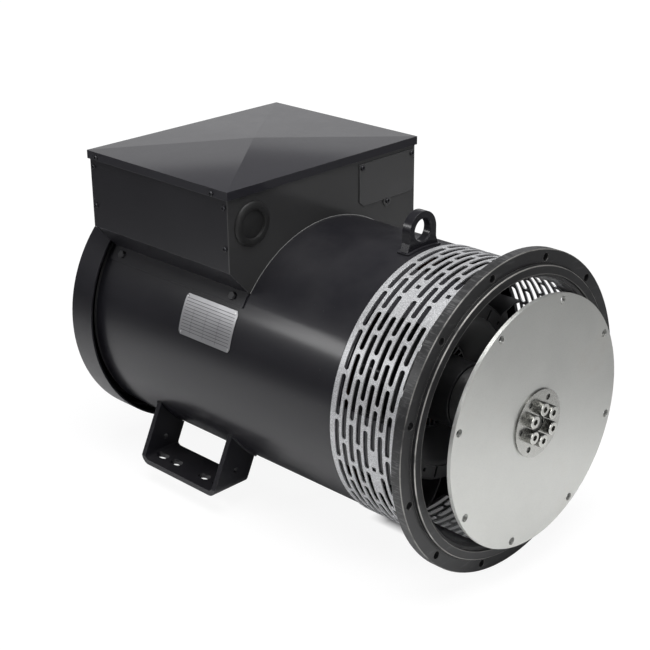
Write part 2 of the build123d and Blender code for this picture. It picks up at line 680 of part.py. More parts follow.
def fan():
    """Radial fan: hub, back plate, blades, and a front ring with balance pads."""
    body = turned(
        (FAN_X0, FAN_SEAT_R + FIT), (FAN_X0, FAN_R), (FAN_X0 + 5, FAN_R), (FAN_X0 + 7, 80),
        (FAN_X1 - 12, 56), (FAN_X1 - 2, 54), (FAN_X1 - 2, FAN_SEAT_R + FIT))
    blade = block(FAN_X0 + 2, FAN_X1 - 10, 66, FAN_R - 1, -2, 2)
    for copy in around(Rot(X=4) * blade, FAN_BLADES):
        body += copy
    body += tube(FAN_X1 - 14, FAN_X1 - 8, FAN_R, FAN_R - 34)
    pad = turned((FAN_X1 - 9, FAN_R - 32), (FAN_X1 - 9, FAN_R - 2), (FAN_X1 - 3, FAN_R - 2), (FAN_X1 - 3, FAN_R - 32))
    window = plate_yz(make_face(Polyline((0, 0), (200, 34), (200, -34), close=True)), FAN_X1 - 20, FAN_X1)
    for copy in around(pad & window, 9, 10):
        body += copy
    return body


def exciter_rotor():
    """Slotted exciter armature."""
    face = Circle(EXCITER_GAP_R - 0.6) - Circle(EXCITER_SEAT_R + FIT)
    slot = Pos(EXCITER_GAP_R - 10, 0) * Rectangle(24, 7)
    for k in range(18):
        face -= Rot(Z=20 * k) * slot
    return plate_yz(face, EXCITER_X0, EXCITER_X1)


def diode_bridge():
    """Rotating rectifier: two half-round heat sinks on an insulating hub."""
    body = tube(DIODES_X - 7, DIODES_X + 7, 30, 20 + FIT)
    ring = tube(DIODES_X - 4, DIODES_X + 1, 62, 28)
    ring -= block(DIODES_X - 10, DIODES_X + 10, -80, 80, -2, 2) - tube(DIODES_X - 10, DIODES_X + 10, 34)
    body += ring
    for k in range(6):
        body += on_ring(DIODES_X + 4.5, 46, 30 + 60 * k) * Cylinder(7, 8)
    return body


def main():
    os.makedirs("parts", exist_ok=True)
    foot_left = foot()
    side = box_side_panel()
    skirt = box_skirt()
    front = box_front_panel()
    rear = box_rear_panel()
    lid = box_lid()
    shell = frame_shell()
    cover = regulator_cover()

    for piece in lid_screws():
        lid -= piece
        side -= piece
        side -= mirror(piece, Plane.XZ)
    for piece in panel_screws():
        side -= piece
        front -= piece
        rear -= piece
    for piece in skirt_screws():
        skirt -= piece
        shell -= piece
    for piece in cover_screws():
        front -= piece

    save(adaptor_ring(), "adaptor_ring")
    save(shell, "frame_shell")
    save(air_screen(), "air_screen")
    save(lifting_eye(), "lifting_eye")
    save(foot_left, "foot_far")
    save(mirror(foot_left, Plane.XZ), "foot_near")
    save(front, "box_front_panel")
    save(rear, "box_rear_panel")
    save(side, "box_side_far")
    save(mirror(side, Plane.XZ), "box_side_near")
    save(skirt, "box_skirt_far")
    save(mirror(skirt, Plane.XZ), "box_skirt_near")
    save(lid, "box_lid")
    save(lid_screws(), "lid_screws")
    save(panel_screws(), "panel_screws")
    save(skirt_screws(), "skirt_screws")
    save(cover, "regulator_cover")
    save(cover_screws(), "cover_screws")
    save(cable_grommet(), "cable_grommet")
    save(terminal_board(), "terminal_board")
    save(terminal_studs(), "terminal_studs")
    save(voltage_regulator(), "voltage_regulator")
    save(rating_plate(), "rating_plate")
    save(rear_cap(), "rear_cap")
    save(cap_bolts(), "cap_bolts")
    save(end_shield(), "end_shield")
    save(shield_bolts(), "shield_bolts")
    save(bearing_outer_ring(), "bearing_outer_ring")
    save(bearing_inner_ring(), "bearing_inner_ring")
    save(ball_places(BALL_R), "bearing_balls")
    save(bearing_cage(), "bearing_cage")
    save(stator_core(), "stator_core")
    save(end_winding(CORE_X1, 1), "winding_front")
    save(end_winding(CORE_X0, -1), "winding_rear")
    save(exciter_stator(), "exciter_stator")
    save(rotor_core(), "rotor_core")
    save(around(field_coil(), POLES), "field_coils")
    save(shaft(), "shaft")
    save(coupling_discs(), "coupling_discs")
    save(clamp_ring(), "clamp_ring")
    save(coupling_screws(), "coupling_screws")
    save(fan(), "fan")
    save(exciter_rotor(), "exciter_rotor")
    save(diode_bridge(), "diode_bridge")


main()
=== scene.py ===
import json
import math
import bmesh
import bpy
from bpy.props import FloatProperty, FloatVectorProperty, IntProperty, PointerProperty
from mathutils import Matrix, Vector

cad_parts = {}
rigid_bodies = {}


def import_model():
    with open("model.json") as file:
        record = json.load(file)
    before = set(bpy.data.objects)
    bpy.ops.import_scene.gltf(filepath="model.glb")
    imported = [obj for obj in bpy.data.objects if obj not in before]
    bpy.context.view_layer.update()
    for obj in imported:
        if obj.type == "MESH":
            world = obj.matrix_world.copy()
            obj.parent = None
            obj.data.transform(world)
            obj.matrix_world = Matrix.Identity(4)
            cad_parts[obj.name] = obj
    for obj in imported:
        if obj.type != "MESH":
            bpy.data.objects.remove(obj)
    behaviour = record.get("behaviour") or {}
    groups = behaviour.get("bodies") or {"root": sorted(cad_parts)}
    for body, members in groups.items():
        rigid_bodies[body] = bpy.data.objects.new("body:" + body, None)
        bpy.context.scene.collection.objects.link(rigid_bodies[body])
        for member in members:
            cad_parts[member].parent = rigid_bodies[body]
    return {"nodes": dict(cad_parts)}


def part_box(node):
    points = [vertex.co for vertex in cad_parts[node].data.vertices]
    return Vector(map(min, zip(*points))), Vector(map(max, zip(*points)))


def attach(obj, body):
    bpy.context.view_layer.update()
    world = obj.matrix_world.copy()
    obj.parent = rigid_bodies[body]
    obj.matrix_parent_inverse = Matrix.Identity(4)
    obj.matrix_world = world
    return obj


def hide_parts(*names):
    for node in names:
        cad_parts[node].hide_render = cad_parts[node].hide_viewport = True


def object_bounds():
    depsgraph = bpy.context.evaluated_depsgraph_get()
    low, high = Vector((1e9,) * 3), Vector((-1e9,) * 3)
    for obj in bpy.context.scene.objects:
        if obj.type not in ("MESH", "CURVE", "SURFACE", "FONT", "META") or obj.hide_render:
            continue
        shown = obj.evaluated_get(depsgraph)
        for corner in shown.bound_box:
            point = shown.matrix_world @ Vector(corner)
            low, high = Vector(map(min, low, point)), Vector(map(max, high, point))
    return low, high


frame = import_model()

bl_info = {
    "name": "Generator alternator head",
    "version": (1, 0, 0),
    "blender": (4, 5, 0),
    "location": "View3D > Sidebar > Alternator",
    "description": "Dresses the alternator head with finishes, weld beads, screws, fan, grommet and plate",
    "category": "Object",
}

CAD_BOX = [list(corner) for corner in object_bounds()]


def corners(node):
    """Lowest and highest corner of a CAD node, as vectors in metres."""
    low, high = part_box(node)
    return Vector(low), Vector(high)


FLANGE_LOW = corners("adaptor_ring")[0]
SCREEN_LOW, SCREEN_HIGH = corners("air_screen")
LID_HIGH = corners("box_lid")[1]
PANEL_HIGH = corners("box_front_panel")[1]
PLATE_LOW, PLATE_HIGH = corners("rating_plate")
GROMMET_LOW, GROMMET_HIGH = corners("cable_grommet")
CLAMP_HIGH = corners("clamp_ring")[1]
FAN_LOW, FAN_HIGH = corners("fan")
EYE_LOW, EYE_HIGH = corners("lifting_eye")

SCREEN_SHEET = 0.0020
PLATE_SEAT = SCREEN_HIGH.z - SCREEN_SHEET
FRAME_RADIUS = SCREEN_HIGH.z - 0.0023
ARCH_HIGHLIGHT_WIDTH = 0.0009         # width of the painted highlight along the arch of the front panel
LIP_RIM = 0.2043           # radii of the flange's rubbed rims
BORE_RIM = 0.1932
OUTER_RIM = 0.2250
FLANGE_EDGE = 0.2235       # from here outward the flange shows brush marks

# name, place, target, width, height, watts
LAMPS = (
    ("overhead_softbox", (0.1, -0.3, 2.4), (-0.15, -0.1, 0.0), 2.2, 1.8, 75.0),
    ("strip_softbox", (-1.40, -1.60, 0.88), (-0.22, -0.17, 0.10), 0.55, 0.34, 6.0),
    ("back_softbox", (-2.26, 1.88, 0.90), (-0.50, 0.0, 0.28), 2.2, 0.66, 4.6),
    ("front_softbox", (2.3, -0.5, 0.9), (0.0, 0.0, 0.0), 1.4, 1.4, 15.0),
)
CAMERA_PLACE = (1.07163, -1.43835, 0.87058)
CAMERA_TURN = (44.676, 22.631, -0.498)      # azimuth, elevation and roll in degrees
CAMERA_LENS = 82.12


# --- Sizes and colours ---
def length(name, description, default):
    """Property for a length in metres."""
    return FloatProperty(name=name, description=description, default=default, unit="LENGTH", subtype="DISTANCE")


def count(name, description, default, low, high):
    """Property for a number of pieces."""
    return IntProperty(name=name, description=description, default=default, min=low, max=high)


def hue(name, description, default):
    """Property for a base colour."""
    return FloatVectorProperty(
        name=name, description=description, default=default, subtype="COLOR", min=0.0, max=1.0)


class AlternatorSizes(bpy.types.PropertyGroup):
    """Sizes of the pieces that are added to the frame."""

    bead_radius: length("Weld bead radius", "Half width of one ripple of the flange weld", 0.0036)
    bead_pitch: length("Weld ripple pitch", "Distance between two ripples of the flange weld", 0.0042)
    tack_pitch: length("Seal pitch", "Distance between two ripples of the seal behind the screen", 0.0024)
    tack_radius: length("Seal radius", "Radius of the seal along the screen's rear edge", 0.0015)
    pan_radius: length("Pan head radius", "Radius of the box screws' heads", 0.0037)
    hex_radius: length("Hex head radius", "Corner radius of the skirt screws' heads", 0.0062)
    cap_head_radius: length("Cap screw head radius", "Radius of the coupling screws' heads", 0.0093)
    cap_head_height: length("Cap screw head height", "Height of the coupling screws' heads", 0.0100)
    clamp_circle: length("Clamp screw circle radius", "Radius of the circle of the coupling screws", 0.0228)
    clamp_count: count("Clamp screws", "Number of coupling screws", 6, 3, 12)
    fan_blades: count("Fan blades", "Number of the fan's blades", 18, 6, 40)
    fan_windows: count("Fan windows", "Number of small windows round the fan's hub", 34, 8, 60)
    fan_pads: count("Fan pads", "Number of drilled pads on the fan's front ring", 13, 4, 30)
    edge_round: length("Edge rounding", "Rounding of painted sheet edges that catches the light", 0.0011)


class AlternatorColours(bpy.types.PropertyGroup):
    """Base colours of the finishes."""

    paint: hue("Frame paint", "Charcoal semi-gloss paint of the frame and the box", (0.0112, 0.0109, 0.0138))
    # painted light: the panel colour is a lighter copy of the box's paint, for the light the front panel and
    # the cover catch
    panel: hue("Panel paint", "Satin paint of the box's front panel and cover", (0.0330, 0.0330, 0.0332))
    flange: hue("Flange paint", "Thin dark paint over the machined flange", (0.0165, 0.0165, 0.0172))
    zinc: hue("Screen zinc", "Galvanised sheet of the air screen", (0.66, 0.665, 0.675))
    disc: hue("Disc steel", "Satin rolled steel of the coupling discs", (0.66, 0.665, 0.635))
    rubber: hue("Rubber", "Black rubber of the grommet", (0.012, 0.012, 0.012))
    copper: hue("Winding varnish", "Varnished copper wire", (0.20, 0.065, 0.025))
    floor: hue("Floor", "Pale studio floor", (0.90, 0.90, 0.90))


# --- Shader maths ---
class Value:
    """A shader socket that Python operators can combine with numbers and other sockets."""

    def __init__(self, finish, socket):
        self.finish = finish
        self.socket = socket

    def method(operation, swapped=False):
        """Method that joins two values, or a value and a number, in one maths node."""
        def run(self, other):
            return self.finish.calc(operation, *((other, self) if swapped else (self, other)))
        return run

    __add__ = __radd__ = method("ADD")
    __mul__ = __rmul__ = method("MULTIPLY")
    __sub__, __rsub__ = method("SUBTRACT"), method("SUBTRACT", True)
    __pow__, __lt__, __gt__ = method("POWER"), method("LESS_THAN"), method("GREATER_THAN")


class Finish:
    """One procedural material on a Principled shader."""

    def __init__(self, name, **constants):
        self.material = bpy.data.materials.new(name)
        self.material.use_nodes = True
        self.tree = self.material.node_tree
        self.shader = self.tree.nodes["Principled BSDF"]
        for socket, number in constants.items():
            self.shader.inputs[socket.replace("_", " ")].default_value = number

    def node(self, kind, settings=None, inputs=None, output=0):
        """Adds any node: its settings first, then the values or links of its sockets."""
        node = self.tree.nodes.new(kind)
        for name, setting in (settings or {}).items():
            setattr(node, name, setting)
        for key, value in (inputs or {}).items():
            if isinstance(value, Value):
                self.tree.links.new(value.socket, node.inputs[key])
            else:
                node.inputs[key].default_value = value
        return Value(self, node.outputs[output])

    def calc(self, operation, *values):
        """Result of one maths node."""
        return self.node("ShaderNodeMath", {"operation": operation}, dict(enumerate(values)))

    def set(self, **values):
        """Links values to the shader's sockets of the same names."""
        for socket, value in values.items():
            self.tree.links.new(value.socket, self.shader.inputs[socket.replace("_", " ")])

    def place(self):
        """Object coordinates, in metres."""
        return self.node("ShaderNodeTexCoord", output="Object")

    def noise(self, place, scale, detail=2.0, roughness=0.5):
        """Noise between 0 and 1."""
        return self.node("ShaderNodeTexNoise", None, {
            "Vector": place, "Scale": scale, "Detail": detail, "Roughness": roughness})

    def streaks(self, detail, first, second=None):
        """Noise over one value, or over two values laid out as a plane."""
        if second is None:
            settings, where = {"noise_dimensions": "1D"}, {"W": first}
        else:
            plane = self.node("ShaderNodeCombineXYZ", None, {0: first, 1: second})
            settings, where = {"noise_dimensions": "2D"}, {"Vector": plane}
        return self.node("ShaderNodeTexNoise", settings, {**where, "Scale": 1.0, "Detail": detail})

    def stretched(self, place, along):
        """Coordinates squeezed along an axis, so that a pattern is drawn out along it."""
        return self.node("ShaderNodeVectorMath", {"operation": "MULTIPLY"}, {0: place, 1: along})

    def span(self, value, low, high, out_low=0.0, out_high=1.0):
        """A value moved from one range to another, held at both ends."""
        return self.node("ShaderNodeMapRange", {"clamp": True}, {
            "Value": value, "From Min": low, "From Max": high, "To Min": out_low, "To Max": out_high})

    def near(self, value, middle, half):
        """1 where a value lies within a half width of a middle, else 0."""
        return self.calc("COMPARE", value, middle, half)

    def larger(self, first, second):
        """The larger of two values."""
        return self.calc("MAXIMUM", first, second)

    def facing(self):
        """X, Y and Z of the surface's normal."""
        return self.parts(self.node("ShaderNodeNewGeometry", output="Normal"))

    def blend(self, factor, first, second):
        """Mixes two colours."""
        return self.node("ShaderNodeMix", {"data_type": "RGBA"}, {0: factor, 6: first, 7: second}, 2)

    def parts(self, vector):
        """X, Y and Z of a vector."""
        split = self.tree.nodes.new("ShaderNodeSeparateXYZ")
        self.tree.links.new(vector.socket, split.inputs[0])
        return [Value(self, socket) for socket in split.outputs]

    def soft_edges(self, radius):
        """Normal with rounded edges, and a mask of those edges."""
        rounded = self.node("ShaderNodeBevel", {"samples": 4}, {"Radius": radius})
        flat = self.node("ShaderNodeNewGeometry", output="Normal")
        same = self.node("ShaderNodeVectorMath", {"operation": "DOT_PRODUCT"}, {0: rounded, 1: flat}, "Value")
        return rounded, self.span(same, 0.995, 0.86)

    def relief(self, height, depth, strength=1.0, normal=None):
        """Adds bump from a height, in metres of depth, and gives back the finished material."""
        inputs = {"Height": height, "Distance": depth, "Strength": strength}
        if normal is not None:
            inputs["Normal"] = normal
        self.set(Normal=self.node("ShaderNodeBump", None, inputs))
        return self.material


def tint(colour, factor=1.0):
    """A colour made lighter or darker, with alpha."""
    return (colour[0] * factor, colour[1] * factor, colour[2] * factor, 1.0)


def grey(level):
    """A neutral colour, with alpha."""
    return (level, level, level, 1.0)


def painted_steel(name, colour, roughness=0.38, edge=0.0011, peel=0.00018, highlight_arch=0.0, coat_ior=1.5,
                  coat_rough=0.17):
    """Semi-gloss paint: orange peel, faint dust on top, edges rubbed a little lighter.

    With an arch radius, a painted highlight in a light steel colour lies along the cut edge of that arch.
    """
    finish = Finish(name, Coat_Weight=0.42, Coat_Roughness=coat_rough, Specular_IOR_Level=0.22,
                    Coat_IOR=coat_ior)
    place = finish.place()
    clouds = finish.noise(place, 7.0, 4.0, 0.6)
    fine = finish.noise(place, 520.0, 2.0)
    specks = finish.span(finish.noise(place, 240.0, 1.0), 0.74, 0.80)
    rounded, edges = finish.soft_edges(edge)
    up = finish.facing()[2]
    dust = finish.span(up, 0.2, 1.0) * finish.span(clouds, 0.42, 0.72)
    worn = edges * finish.span(finish.noise(place, 60.0, 4.0), 0.35, 0.62)
    base = finish.blend(clouds, tint(colour, 0.82), tint(colour, 1.22))
    base = finish.blend(dust * 0.05, base, (0.20, 0.19, 0.18, 1.0))
    base = finish.blend(specks * 0.06, base, grey(0.16))
    base = finish.blend(worn * 0.45, base, (0.13, 0.13, 0.135, 1.0))
    # painted highlight: a light line along the panel's arch edge, where the rounded edge catches the light
    if highlight_arch > 0:
        y, z = finish.parts(place)[1:]
        painted_arch_highlight = ((y * y + z * z) ** 0.5 < highlight_arch) * finish.span(clouds, 0.20, 0.60, 0.55, 1.0)
        base = finish.blend(painted_arch_highlight, base, (0.58, 0.58, 0.57, 1.0))
    finish.set(
        Base_Color=base,
        Roughness=roughness + (clouds - 0.5) * 0.14 + (fine - 0.5) * 0.07 + dust * 0.10)
    return finish.relief(fine + clouds * 0.6, peel, 0.55, rounded)


def machined_paint(name, colour):
    """Thin paint over a turned flange: faint tool rings and rubbed rims."""
    finish = Finish(name, Specular_IOR_Level=0.5)
    place = finish.place()
    x, y, z = finish.parts(place)
    radius = (y * y + z * z) ** 0.5
    rings = finish.streaks(2.0, radius * 900.0)
    clouds = finish.noise(place, 24.0, 4.0, 0.6)
    scuffs = finish.span(finish.noise(finish.stretched(place, (60.0, 9.0, 60.0)), 3.0, 4.0), 0.60, 0.70)
    rounded, edges = finish.soft_edges(0.0008)
    rims = ((x > 0.0045) * (finish.near(radius, LIP_RIM, 0.0007) + finish.near(radius, BORE_RIM, 0.0005) * 0.4)
            + (x > -0.0012) * finish.near(radius, OUTER_RIM, 0.0006) * 0.6)
    worn = finish.larger(edges * 0.6, rims) * finish.span(clouds, 0.30, 0.55)
    base = finish.blend(clouds, tint(colour, 0.75), tint(colour, 1.45))
    turn = finish.calc("ARCTAN2", y, z)
    strokes = finish.streaks(2.0, turn * 110.0, x * 60.0)
    strokes = finish.span(strokes, 0.50, 0.62) * (radius > FLANGE_EDGE) * finish.span(clouds, 0.35, 0.60)
    base = finish.blend(strokes * 0.34, base, grey(0.20))
    base = finish.blend(scuffs * 0.12, base, grey(0.20))
    base = finish.blend(worn * 0.85, base, (0.52, 0.51, 0.48, 1.0))
    finish.set(
        Base_Color=base,
        Metallic=worn * 0.8,
        Roughness=0.40 + (clouds - 0.5) * 0.2 + (rings - 0.5) * 0.08)
    return finish.relief(rings + clouds, 0.00008, 0.5, rounded)


def galvanised(name, colour):
    """Zinc-coated sheet: fine frosted speckle, darker smears between the slots, and a painted highlight on the
    slot edges.
    """
    finish = Finish(name)
    place = finish.place()
    cells = finish.node("ShaderNodeTexVoronoi", {"feature": "F1"}, {"Vector": place, "Scale": 1050.0}, "Color")
    grain = finish.parts(cells)[0]
    speckle = finish.noise(place, 1500.0, 2.0)
    smears = finish.noise(place, 22.0, 5.0, 0.65)
    rounded, edges = finish.soft_edges(0.0005)
    base = finish.blend(grain, tint(colour, 0.60), tint(colour, 1.12))
    base = finish.blend(finish.span(speckle, 0.52, 0.68) * 0.60, base, (0.16, 0.16, 0.17, 1.0))
    base = finish.blend(finish.span(smears, 0.55, 0.78) * 0.15, base, (0.25, 0.25, 0.26, 1.0))
    # painted highlight: the slot edges are lighter
    base = finish.blend(edges * 0.8, base, tint(colour, 1.3))
    finish.set(
        Base_Color=base,
        Metallic=0.55 + (grain - 0.5) * 0.2,
        Roughness=0.44 + (grain - 0.5) * 0.14 + (smears - 0.5) * 0.06)
    return finish.relief(grain + speckle, 0.00003, 0.4, rounded)


def rolled_steel(name, colour, roughness=0.34):
    """Satin rolled sheet: fine lines along the roll and faint stains."""
    finish = Finish(name)
    place = finish.place()
    lines = finish.noise(finish.stretched(place, (40.0, 40.0, 900.0)), 1.0, 3.0)
    fine = finish.noise(place, 1400.0, 1.0)
    stains = finish.noise(place, 8.0, 5.0, 0.62)
    rounded = finish.soft_edges(0.0004)[0]
    base = finish.blend(stains, tint(colour, 0.86), tint(colour, 1.10))
    base = finish.blend(finish.span(stains, 0.60, 0.75) * 0.30, base, (0.50, 0.46, 0.41, 1.0))
    base = finish.blend(finish.span(fine, 0.56, 0.72) * 0.26, base, tint(colour, 0.55))
    finish.set(
        Base_Color=base,
        Metallic=0.80 - finish.span(stains, 0.55, 0.80) * 0.15,
        Roughness=roughness + (lines - 0.5) * 0.16 + (stains - 0.5) * 0.12)
    return finish.relief(lines + fine * 0.5, 0.00003, 0.5, rounded)


def plated_steel(name, colour, roughness=0.30, metal=1.0, painted_side_shade=0.0):
    """Turned or plated hardware with handling marks, a painted highlight on its edges, and painted shade on the
    sides round the shaft.
    """
    finish = Finish(name)
    place = finish.place()
    marks = finish.noise(place, 180.0, 4.0, 0.6)
    fine = finish.noise(place, 1600.0, 1.0)
    rounded, edges = finish.soft_edges(0.0004)
    base = finish.blend(marks, tint(colour, 0.70), tint(colour, 1.15))
    # painted shade: faces that do not look along the shaft are darkened, by the given share
    if painted_side_shade > 0:
        ahead = finish.facing()[0]
        base = finish.blend((ahead < 0.6) * painted_side_shade, base, tint(colour, 0.12))
    # painted highlight: the base colour is lighter on the rounded edges
    finish.set(
        Base_Color=finish.blend(edges * 0.4, base, tint(colour, 1.35)),
        Metallic=metal - finish.span(marks, 0.60, 0.80) * 0.2,
        Roughness=roughness + (marks - 0.5) * 0.24)
    return finish.relief(marks + fine * 0.4, 0.00005, 0.5, rounded)


def dull_solid(name, colour, roughness=0.6, scale=320.0, depth=0.0001, edge=0.25):
    """Moulded rubber, resin or plastic with a fine skin, and a painted highlight on its edges whose strength
    the edge factor sets.
    """
    finish = Finish(name, Specular_IOR_Level=0.4)
    place = finish.place()
    skin = finish.noise(place, scale, 3.0)
    clouds = finish.noise(place, 30.0, 4.0, 0.6)
    rounded, edges = finish.soft_edges(0.0007)
    base = finish.blend(clouds, tint(colour, 0.70), tint(colour, 1.45))
    # painted highlight: the base colour is lighter on the rounded edges
    finish.set(
        Base_Color=finish.blend(edges * edge, base, tint(colour, 3.2)),
        Roughness=roughness + (skin - 0.5) * 0.16 + (clouds - 0.5) * 0.12)
    return finish.relief(skin, depth, 0.6, rounded)


def cast_surface(name, colour):
    """Rough sand-cast iron under thin paint."""
    finish = Finish(name)
    place = finish.place()
    sand = finish.noise(place, 420.0, 4.0, 0.6)
    clouds = finish.noise(place, 18.0, 4.0)
    base = finish.blend(clouds, tint(colour, 0.65), tint(colour, 1.3))
    finish.set(
        Base_Color=finish.blend(finish.span(sand, 0.58, 0.75) * 0.3, base, (0.12, 0.10, 0.09, 1.0)),
        Roughness=0.62 + (sand - 0.5) * 0.3)
    return finish.relief(sand, 0.0004, 0.7)


def laminated(name, colour):
    """Stacked electrical steel: thin sheet edges across the shaft."""
    finish = Finish(name)
    place = finish.place()
    x = finish.parts(place)[0]
    sheets = finish.streaks(1.0, x * 2000.0)
    clouds = finish.noise(place, 40.0, 4.0)
    base = finish.blend(sheets, tint(colour, 0.55), tint(colour, 1.25))
    finish.set(
        Base_Color=finish.blend(finish.span(clouds, 0.5, 0.8) * 0.4, base, (0.09, 0.05, 0.03, 1.0)),
        Metallic=0.35 + clouds * 0.3,
        Roughness=0.45 + (sheets - 0.5) * 0.3)
    return finish.relief(sheets, 0.0001, 0.6)


def wound_wire(name, colour):
    """Varnished enamelled wire laid round the axis."""
    finish = Finish(name, Coat_Weight=0.4, Coat_Roughness=0.25)
    place = finish.place()
    x, y, z = finish.parts(place)
    radius = (y * y + z * z) ** 0.5
    wires = finish.streaks(1.0, x * 600.0, radius * 600.0)
    drips = finish.noise(place, 45.0, 4.0)
    base = finish.blend(wires, tint(colour, 0.45), tint(colour, 1.5))
    base = finish.blend(finish.span(drips, 0.5, 0.75) * 0.6, base, (0.06, 0.022, 0.012, 1.0))
    finish.set(Base_Color=base, Roughness=0.34 + (drips - 0.5) * 0.3)
    return finish.relief(wires, 0.0006, 0.8)


def ruled_plate(name):
    """Satin plate with a printed grid of empty fields, read from the plate's own UV map."""
    finish = Finish(name)
    u, v = finish.parts(finish.node("ShaderNodeUVMap", {"uv_map": "plate"}))[:2]
    place = finish.place()
    grain = finish.noise(place, 900.0, 2.0)
    clouds = finish.noise(place, 30.0, 4.0)
    inside = (u > 0.035) * (u < 0.965) * (v > 0.06) * (v < 0.94)
    rows = finish.calc("FRACT", v * 13.0 + 0.46)
    halves = finish.calc("FRACT", u * 4.0 + 0.14)
    lines = ((rows < 0.16) + (halves < 0.018) * (v < 0.72)) * inside
    ink = finish.calc("MINIMUM", lines, 1.0)
    base = finish.blend(clouds, (0.34, 0.34, 0.35, 1.0), (0.50, 0.50, 0.51, 1.0))
    finish.set(
        Base_Color=finish.blend(ink * 0.88, base, (0.02, 0.02, 0.022, 1.0)),
        Metallic=0.75 - ink * 0.7,
        Roughness=0.34 + (grain - 0.5) * 0.2 + ink * 0.1)
    return finish.relief(ink + grain * 0.3, 0.00003, 0.6)


def studio_floor(name, colour):
    """Pale matt floor, white to the camera, that keeps the object's shadow; seen from the object its colour
    darkens away from it and to the right as painted shade, and a painted shadow patch lies under the flange.
    """
    finish = Finish(name, Roughness=0.9, Specular_IOR_Level=0.1)
    place = finish.place()
    x, y = finish.parts(place)[:2]
    away = ((x + 0.05) ** 2.0 + (y + 0.05) ** 2.0) ** 0.5
    rays = finish.tree.nodes.new("ShaderNodeLightPath")
    seen = Value(finish, rays.outputs["Is Camera Ray"])
    far = finish.span(away, 0.95, 1.6)
    right = finish.span((x + y) * 0.707, 0.36, 0.66)
    # painted shade: seen from the object, the floor's colour darkens far from it and to the right, standing in
    # for light that falls off
    painted_falloff = finish.larger(far * 0.72, right * 0.58) * (1.0 - seen)
    painted_falloff = painted_falloff + finish.noise(place, 3.0, 2.0) * 0.01
    finish.set(Base_Color=finish.blend(painted_falloff, tint(colour), tint(colour, 0.0)))
    glow = finish.tree.nodes.new("ShaderNodeEmission")
    glow.inputs["Color"].default_value = grey(1.0)
    glow.inputs["Strength"].default_value = 1.06
    # painted shadow: under the flange the white glow is cut back, so the camera sees the floor's own shaded
    # light there; the patch itself is painted
    shade = (finish.span(x, -0.22, -0.19) * finish.span(x, -0.02, -0.04)
             * finish.span(y, -0.05, -0.03) * finish.span(y, 0.13, 0.11))
    mix = finish.node("ShaderNodeMixShader", None, {
        0: seen * (0.86 + far * 0.12 - shade * 0.80),
        1: Value(finish, finish.shader.outputs[0]), 2: Value(finish, glow.outputs[0])})
    finish.tree.links.new(mix.socket, finish.tree.nodes["Material Output"].inputs["Surface"])
    return finish.material


# --- Mesh helpers ---
def dress(names, material):
    """Gives CAD nodes a finish."""
    for name in names:
        mesh = frame["nodes"][name].data
        mesh.materials.clear()
        mesh.materials.append(material)


def mesh_object(name, mesh):
    """Links a mesh to the scene as an object at the origin."""
    piece = bpy.data.objects.new(name, mesh)
    bpy.context.scene.collection.objects.link(piece)
    return piece


def spoke(radius, angle):
    """The two coordinates at a radius and an angle in radians."""
    return radius * math.cos(angle), radius * math.sin(angle)


def to_mesh(name, maker, material=None, angle=35, outward=True):
    """Turns the maker's faces into a mesh that is smooth up to an angle in degrees."""
    if outward:
        bmesh.ops.recalc_face_normals(maker, faces=maker.faces)
    mesh = bpy.data.meshes.new(name)
    maker.to_mesh(mesh)
    maker.free()
    if material:
        mesh.materials.append(material)
    mesh.shade_smooth()
    mesh.set_sharp_from_angle(angle=math.radians(angle))
    return mesh


def lathe(name, profile, centre, material, steps=72):
    """Closed piece turned about a line along X through a centre, from (x, radius) points."""
    maker = bmesh.new()
    rings = []
    for x, radius in profile:
        if radius < 1e-6:
            rings.append([maker.verts.new((centre[0] + x, centre[1], centre[2]))])
            continue
        ring = []
        for k in range(steps):
            across, up = spoke(radius, 2 * math.pi * k / steps)
            ring.append(maker.verts.new((centre[0] + x, centre[1] + across, centre[2] + up)))
        rings.append(ring)
    for first, second in zip(rings, rings[1:]):
        for k in range(steps):
            following = (k + 1) % steps
            loop = [first[k % len(first)], first[following % len(first)],
                    second[following % len(second)], second[k % len(second)]]
            unique = [vert for n, vert in enumerate(loop) if vert not in loop[:n]]
            if len(unique) > 2:
                maker.faces.new(unique)
    return mesh_object(name, to_mesh(name, maker, material))


def polar_plate(maker, rings, angles, thickness, gap=None):
    """Adds a closed plate across the shaft from (x, radius) rings and angles in degrees.

    gap(ring, step) says which cells stay open; the plate closes on itself after a full turn.
    """
    full = abs(angles[-1] - angles[0]) > 359.0
    turns = angles[:-1] if full else angles
    grid = [[maker.verts.new((x, *spoke(r, math.radians(a)))) for a in turns] for x, r in rings]
    faces = []
    for i in range(len(rings) - 1):
        for k in range(len(angles) - 1):
            if gap and gap(i, k):
                continue
            n = (k + 1) % len(turns)
            faces.append(maker.faces.new((grid[i][k], grid[i][n], grid[i + 1][n], grid[i + 1][k])))
    made = bmesh.ops.extrude_face_region(maker, geom=faces, use_keep_orig=True)
    back = [part for part in made["geom"] if isinstance(part, bmesh.types.BMVert)]
    bmesh.ops.translate(maker, verts=back, vec=(-thickness, 0.0, 0.0))
    loose = [vert for ring in grid for vert in ring if not vert.link_faces]
    bmesh.ops.delete(maker, geom=loose, context="VERTS")


def polar_ring(maker, profile, steps=96):
    """Adds a closed ring turned about the shaft from a closed (x, radius) outline."""
    turns = [2 * math.pi * k / steps for k in range(steps)]
    grid = [[maker.verts.new((x, *spoke(r, turn))) for turn in turns] for x, r in profile]
    for i in range(len(profile)):
        j = (i + 1) % len(profile)
        for k in range(steps):
            n = (k + 1) % steps
            maker.faces.new((grid[i][k], grid[i][n], grid[j][n], grid[j][k]))


